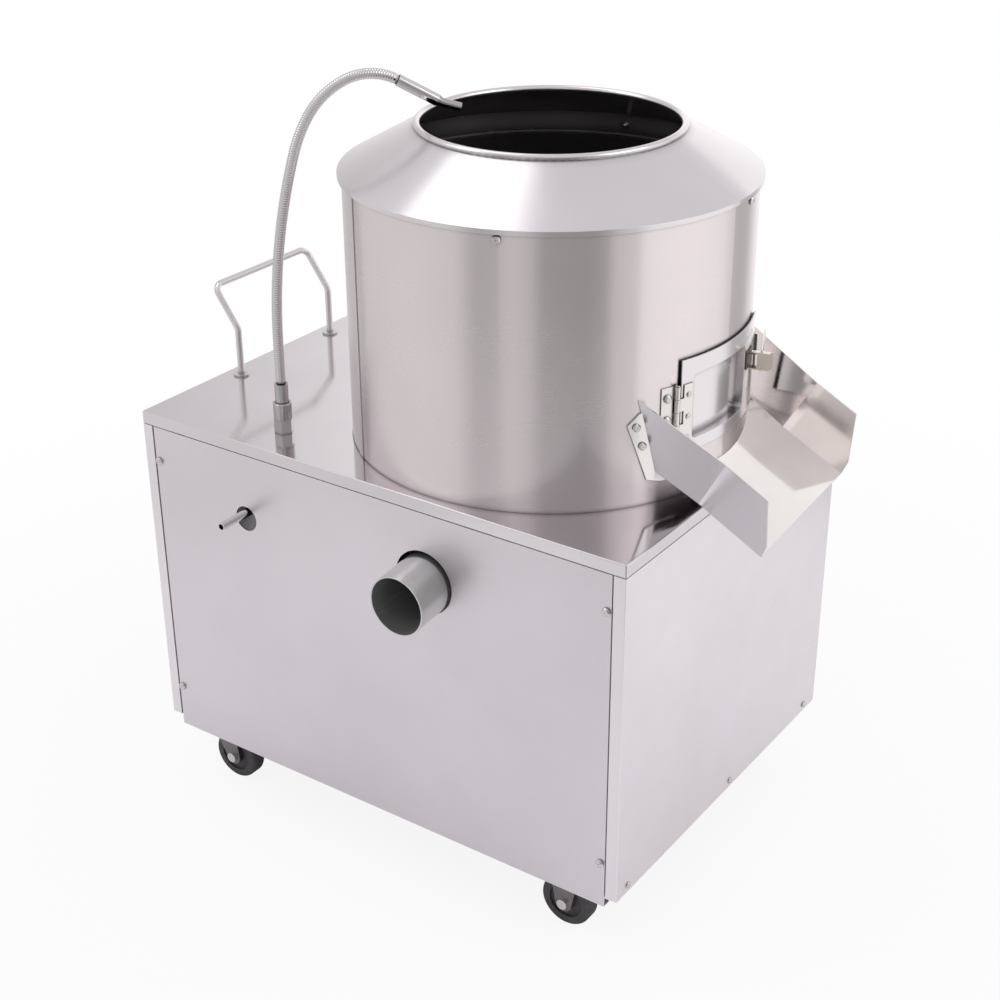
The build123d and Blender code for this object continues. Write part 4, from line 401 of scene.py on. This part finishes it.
# The hollows between the ribs are darkened with painted shade.
hose_steel = steel_finish("wound_hose_steel", hose_tint, 0.20, (300.0, 300.0, 300.0), scratch=0.03, edge=0.0001,
                          crease_shade=0.0022)
wound_hose = placed("wound_hose", strip, hose_steel)
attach(wound_hose, "gooseneck")
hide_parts("gooseneck_hose")


# Drain: a seam-welded pipe from low in the drum out through the front panel.
# Duller stainless; its inside, and its outside next to the panel, are darkened with painted shade.
pipe_tint = (0.76, 0.765, 0.76)
pipe_steel = steel_finish("welded_pipe_steel", pipe_tint, 0.20, (20.0, 20.0, 20.0), scratch=0.03, cloud=0.88,
                          patch=14.0, crease_shade=0.03)
shader_of(pipe_steel).inputs["Metallic"].default_value = 0.85
dress(pipe_steel, "drain_pipe")


# Push handle: bent round bar with a flange welded at each foot, screwed to the deck.
# The same drawn bright stainless as the nozzle.
dress(drawn_steel, "push_handle")


# Casters: pressed forks, dark plated, on rubber wheels with plain bolts for axles.
# The two at the left swivel and the two at the right are fixed.
plated_steel = steel_finish("caster_plated_steel", (0.26, 0.245, 0.25), 0.42, (70.0, 70.0, 70.0), scratch=0.25)
dress(plated_steel, "fixed_forks", "swivel_plates", "swivel_fork_front", "swivel_fork_rear")
tyre_dark = (0.032, 0.030, 0.034)
tyre_light = (0.080, 0.075, 0.080)
tyre = dull_finish("caster_tyre", tyre_dark, tyre_light, 90.0, 0.45, 0.7)[0]
dress(tyre, "swivel_wheel_front", "swivel_wheel_rear", "fixed_wheel_front", "fixed_wheel_rear")
bolt_grain = (150.0, 150.0, 150.0)
axle_steel = steel_finish("axle_bolt_steel", (0.86, 0.84, 0.84), 0.22, bolt_grain, scratch=0.10)
dress(axle_steel, "fixed_axles", "swivel_axle_front", "swivel_axle_rear")


# Start and stop push buttons in a black switch plate on the left side, and the lead's gland.
# Moulded plastic, rubbed a little shiny by fingers.
switch_black = dull_finish("switch_black", (0.014, 0.014, 0.014), (0.022, 0.022, 0.022), 300.0, 0.34, 0.5)[0]
start_green = dull_finish("start_button_plastic", (0.016, 0.17, 0.04), (0.02, 0.22, 0.05), 120.0, 0.28, 0.45)[0]
stop_red = dull_finish("stop_button_plastic", (0.36, 0.016, 0.012), (0.45, 0.02, 0.015), 120.0, 0.28, 0.45)[0]
dress(switch_black, "switch_plate")
dress(start_green, "start_button")
dress(stop_red, "stop_button")
dress(black_rubber, "cable_gland")


# Screws, rivets and bolts, and the cross recesses of the screws.
# Bright stainless, cold-headed, with painted shade in the creases round the heads; each cross recess is a dark bar
# pair, a painted shade for the hollow.
# Each recess is two short bars laid over the dome of a head; reach and half width are shares of the head's radius.
headed_steel = steel_finish("headed_steel", (0.74, 0.72, 0.72), 0.20, bolt_grain, scratch=0.05, crease_shade=0.003)
dress(headed_steel, "panel_fasteners", "drum_screws", "door_screws", "machine_bolts")
# Dark steel for the crosses: painted shade standing in for the hollow of each recess.
recess_painted_shade = steel_finish("recess_painted_shade", (0.12, 0.11, 0.105), 0.5, (400.0, 400.0, 400.0), scratch=0.2)
recess_reach = 0.55
recess_half = 0.10
recess_depth = 0.0003
recess_proud = 0.00003
recess_steps = 2
same_spot = 0.00001
rim_share = 0.98
panel_reach = 0.006
upward = Vector((0.0, 0.0, 1.0))
drum_low, drum_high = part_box("drum_lining")
drum_x = (drum_low.x + drum_high.x) / 2
drum_y = (drum_low.y + drum_high.y) / 2
front_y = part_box("front_panel")[0].y
rear_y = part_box("rear_panel")[1].y


def screw_shapes(node):
    """The corners of each separate screw of a node."""
    whole = bmesh.new()
    whole.from_mesh(part[node].data)
    bmesh.ops.remove_doubles(whole, verts=whole.verts, dist=same_spot)
    reached = set()
    shapes = []
    for first in whole.verts:
        if first in reached:
            continue
        reached.add(first)
        waiting = [first]
        shape = []
        while waiting:
            corner = waiting.pop()
            shape.append(corner.co.copy())
            for link in corner.link_edges:
                other = link.other_vert(corner)
                if other not in reached:
                    reached.add(other)
                    waiting.append(other)
        shapes.append(shape)
    whole.free()
    return shapes


def screw_axis(node, middle):
    """The way a screw's head faces, or None for a rivet."""
    if node == "panel_fasteners":
        if abs(middle.y - front_y) < panel_reach:
            return Vector((0.0, -1.0, 0.0))
        return Vector((0.0, 1.0, 0.0)) if abs(middle.y - rear_y) < panel_reach else None
    return Vector((middle.x - drum_x, middle.y - drum_y, 0.0)).normalized()


def add_recess(pen, shape, facing):
    """Lay a cross on the dome of one screw's head."""
    tip = max(shape, key=lambda corner: corner.dot(facing))
    crown = [corner for corner in shape if (tip - corner).dot(facing) < same_spot]
    apex = sum(crown, Vector()) / len(crown)
    rims = [((corner - apex) - facing * (corner - apex).dot(facing)).length for corner in shape]
    head = max(rims)
    height = min((apex - corner).dot(facing) for corner, rim in zip(shape, rims) if rim > rim_share * head)
    dome = (head ** 2 + height ** 2) / (2 * max(height, recess_depth))
    level = facing.cross(upward)
    rising = (upward + level) / sqrt(2)
    falling = (upward - level) / sqrt(2)
    top = facing * recess_proud
    low = -facing * recess_depth
    for along, across in ((rising, falling), (falling, rising)):
        side = across * recess_half * head
        rows = []
        for step in range(-recess_steps, recess_steps + 1):
            out = step / recess_steps * recess_reach * head
            skin = apex + along * out - facing * (out ** 2 / (2 * dome))
            rows.append([pen.verts.new(skin + shift) for shift in (side + top, top - side, low - side, side + low)])
        skin_tube(pen, rows)


for node, body in (("panel_fasteners", "cabinet"), ("drum_screws", "cabinet"), ("door_screws", "door")):
    recesses = bmesh.new()
    for shape in screw_shapes(node):
        facing = screw_axis(node, sum(shape, Vector()) / len(shape))
        if facing:
            add_recess(recesses, shape, facing)
    bmesh.ops.recalc_face_normals(recesses, faces=recesses.faces)
    crosses = placed(node + "_recesses", recesses, recess_painted_shade, False)
    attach(crosses, body)


# Studio floor: a pale painted floor that brightens to white away from the machine.
# It keeps the machine's soft shadow.
floor_slab = bmesh.new()
bmesh.ops.create_circle(floor_slab, cap_ends=True, segments=96, radius=9.0)
floor_paint, floor_shader = blank_finish("floor_paint", (0.90, 0.895, 0.90), 0.0, 0.9)
sight = node_of(floor_paint, "ShaderNodeLightPath")
glow = node_of(floor_paint, "ShaderNodeEmission", Color=(1.0, 1.0, 1.0, 1), Strength=1.0)
place = node_of(floor_paint, "ShaderNodeTexCoord")
reach = node_of(floor_paint, "ShaderNodeVectorMath", operation="LENGTH")
join(floor_paint, place.outputs["Object"], reach.inputs[0])
near_glow = 0.89
fade_start = 0.6
fade_end = 1.5
fade = spread_over(floor_paint, reach.outputs["Value"], near_glow, 1.0, fade_start, fade_end)
share = node_of(floor_paint, "ShaderNodeMath", operation="MULTIPLY")
join(floor_paint, fade, share.inputs[0], sight.outputs["Is Camera Ray"], share.inputs[1])
mix = node_of(floor_paint, "ShaderNodeMixShader")
out = floor_paint.node_tree.nodes["Material Output"]
join(floor_paint, share.outputs["Value"], mix.inputs[0], floor_shader.outputs["BSDF"], mix.inputs[1])
join(floor_paint, glow.outputs["Emission"], mix.inputs[2], mix.outputs["Shader"], out.inputs["Surface"])
floor = placed("floor", floor_slab, floor_paint, False)


# Tent round the machine: white and grey cloths that only the metal mirrors.
# Each level is what one upright band of the drum shows, after the cloth's bearing in degrees.
tent_radius = 1.15
tent_top = 1.36
tent_panes = 96
tent_levels = (
    (-180, 0.66), (-166, 0.74), (-140, 0.72), (-104, 0.70), (-93, 0.44), (-82, 0.48), (-76, 0.64), (-66, 0.56),
    (-60, 0.34), (-38, 0.31), (-29, 0.38), (-25, 0.62), (-14, 0.66), (-9, 0.93), (20, 1.00), (46, 0.98),
    (54, 0.50), (70, 0.52), (84, 1.00), (105, 1.12), (125, 1.12), (150, 0.74), (168, 0.58), (180, 0.66),
)
tent_warmth = 0.985
cloth = bmesh.new()
pane_angles = [2 * pi * i / tent_panes for i in range(tent_panes)]
tent_rows = [[cloth.verts.new((tent_radius * cos(a), tent_radius * sin(a), level)) for a in pane_angles]
             for level in (0.0, tent_top)]
for i in range(tent_panes):
    j = (i + 1) % tent_panes
    cloth.faces.new((tent_rows[0][i], tent_rows[0][j], tent_rows[1][j], tent_rows[1][i]))
tent_cloth = blank_finish("tent_cloth", (0.8, 0.8, 0.8), 0.0, 1.0)[0]
spot = node_of(tent_cloth, "ShaderNodeTexCoord")
split = node_of(tent_cloth, "ShaderNodeSeparateXYZ")
turn = node_of(tent_cloth, "ShaderNodeMath", operation="ARCTAN2")
join(tent_cloth, spot.outputs["Object"], split.inputs[0])
join(tent_cloth, split.outputs["Y"], turn.inputs[0], split.outputs["X"], turn.inputs[1])
bands = node_of(tent_cloth, "ShaderNodeValToRGB")
join(tent_cloth, spread_over(tent_cloth, turn.outputs["Value"], 0.0, 1.0, -pi, pi), bands.inputs["Fac"])
stops = bands.color_ramp.elements
for angle, level in tent_levels[1:-1]:
    stops.new((angle + 180) / 360)
for stop, (angle, level) in zip(stops, tent_levels):
    stop.position = (angle + 180) / 360
    stop.color = (level, tent_warmth * level, tent_warmth * level, 1)
cloth_glow = node_of(tent_cloth, "ShaderNodeEmission")
cloth_out = tent_cloth.node_tree.nodes["Material Output"]
join(tent_cloth, bands.outputs["Color"], cloth_glow.inputs["Color"])
join(tent_cloth, cloth_glow.outputs["Emission"], cloth_out.inputs["Surface"])
tent = placed("tent", cloth, tent_cloth, False)
tent.location = (drum_x, drum_y, 0.0)
tent.visible_camera = False
tent.visible_diffuse = False
tent.visible_shadow = False
tent.visible_transmission = False


# Soft lamps: one over the left that draws the bright wedge on the hood, a fill at each side,
# and a small one at the back that the floor of the chute mirrors.
def soft_lamp(name, place, aim, size, watts):
    """A square lamp that the camera itself doesn't see."""
    data = bpy.data.lights.new(name, "AREA")
    data.shape = "RECTANGLE"
    data.size = data.size_y = size
    data.energy = watts
    lamp = bpy.data.objects.new(name, data)
    lamp.location = place
    lamp.rotation_euler = (Vector(aim) - Vector(place)).to_track_quat("-Z", "Y").to_euler()
    bpy.context.scene.collection.objects.link(lamp)
    lamp.visible_camera = False


soft_lamp("wedge_softbox", (-0.80, -0.05, 2.60), (0.0, 0.0, 0.8), 1.1, 3.6)
soft_lamp("left_softbox", (-1.7, -1.5, 2.0), (0.0, 0.0, 0.4), 1.6, 8)
soft_lamp("right_softbox", (2.1, 0.4, 1.9), (0.0, 0.0, 0.4), 1.6, 12)
soft_lamp("chute_softbox", (0.47, 0.88, 1.01), (0.32, 0.03, 0.51), 0.45, 0.28)


# Room: an even pale grey for the metal to mirror.
# It is white where the camera looks past the machine.
world = bpy.data.worlds.new("studio")
bpy.context.scene.world = world
world.use_nodes = True
sky = world.node_tree.nodes["Background"]
sky.inputs["Color"].default_value = (0.72, 0.71, 0.72, 1)
white = node_of(world, "ShaderNodeBackground", Color=(1.0, 1.0, 1.0, 1))
path = node_of(world, "ShaderNodeLightPath")
pick = node_of(world, "ShaderNodeMixShader")
room = world.node_tree.nodes["World Output"]
join(world, path.outputs["Is Camera Ray"], pick.inputs[0], sky.outputs[0], pick.inputs[1])
join(world, white.outputs[0], pick.inputs[2], pick.outputs[0], room.inputs["Surface"])
bpy.context.scene.view_settings.view_transform = "Standard"


# Camera at the photograph's place, with the photograph's slight roll.
# Its turn, tilt and roll are in degrees, and its place is in metres.
eye = (1.0640, -1.5348, 1.3502)
turned_right = 35.04
looking_down = 26.89
rolled = -0.34
lens = bpy.data.cameras.new("camera")
lens.lens = 62.75
lens.sensor_width = 36.0
lens.clip_start = 0.05
camera = bpy.data.objects.new("camera", lens)
yaw = Matrix.Rotation(radians(turned_right), 4, "Z")
pitch = Matrix.Rotation(radians(90 - looking_down), 4, "X")
roll = Matrix.Rotation(radians(rolled), 4, "Z")
camera.matrix_world = Matrix.Translation(eye) @ yaw @ pitch @ roll
bpy.context.scene.collection.objects.link(camera)
bpy.context.scene.camera = camera
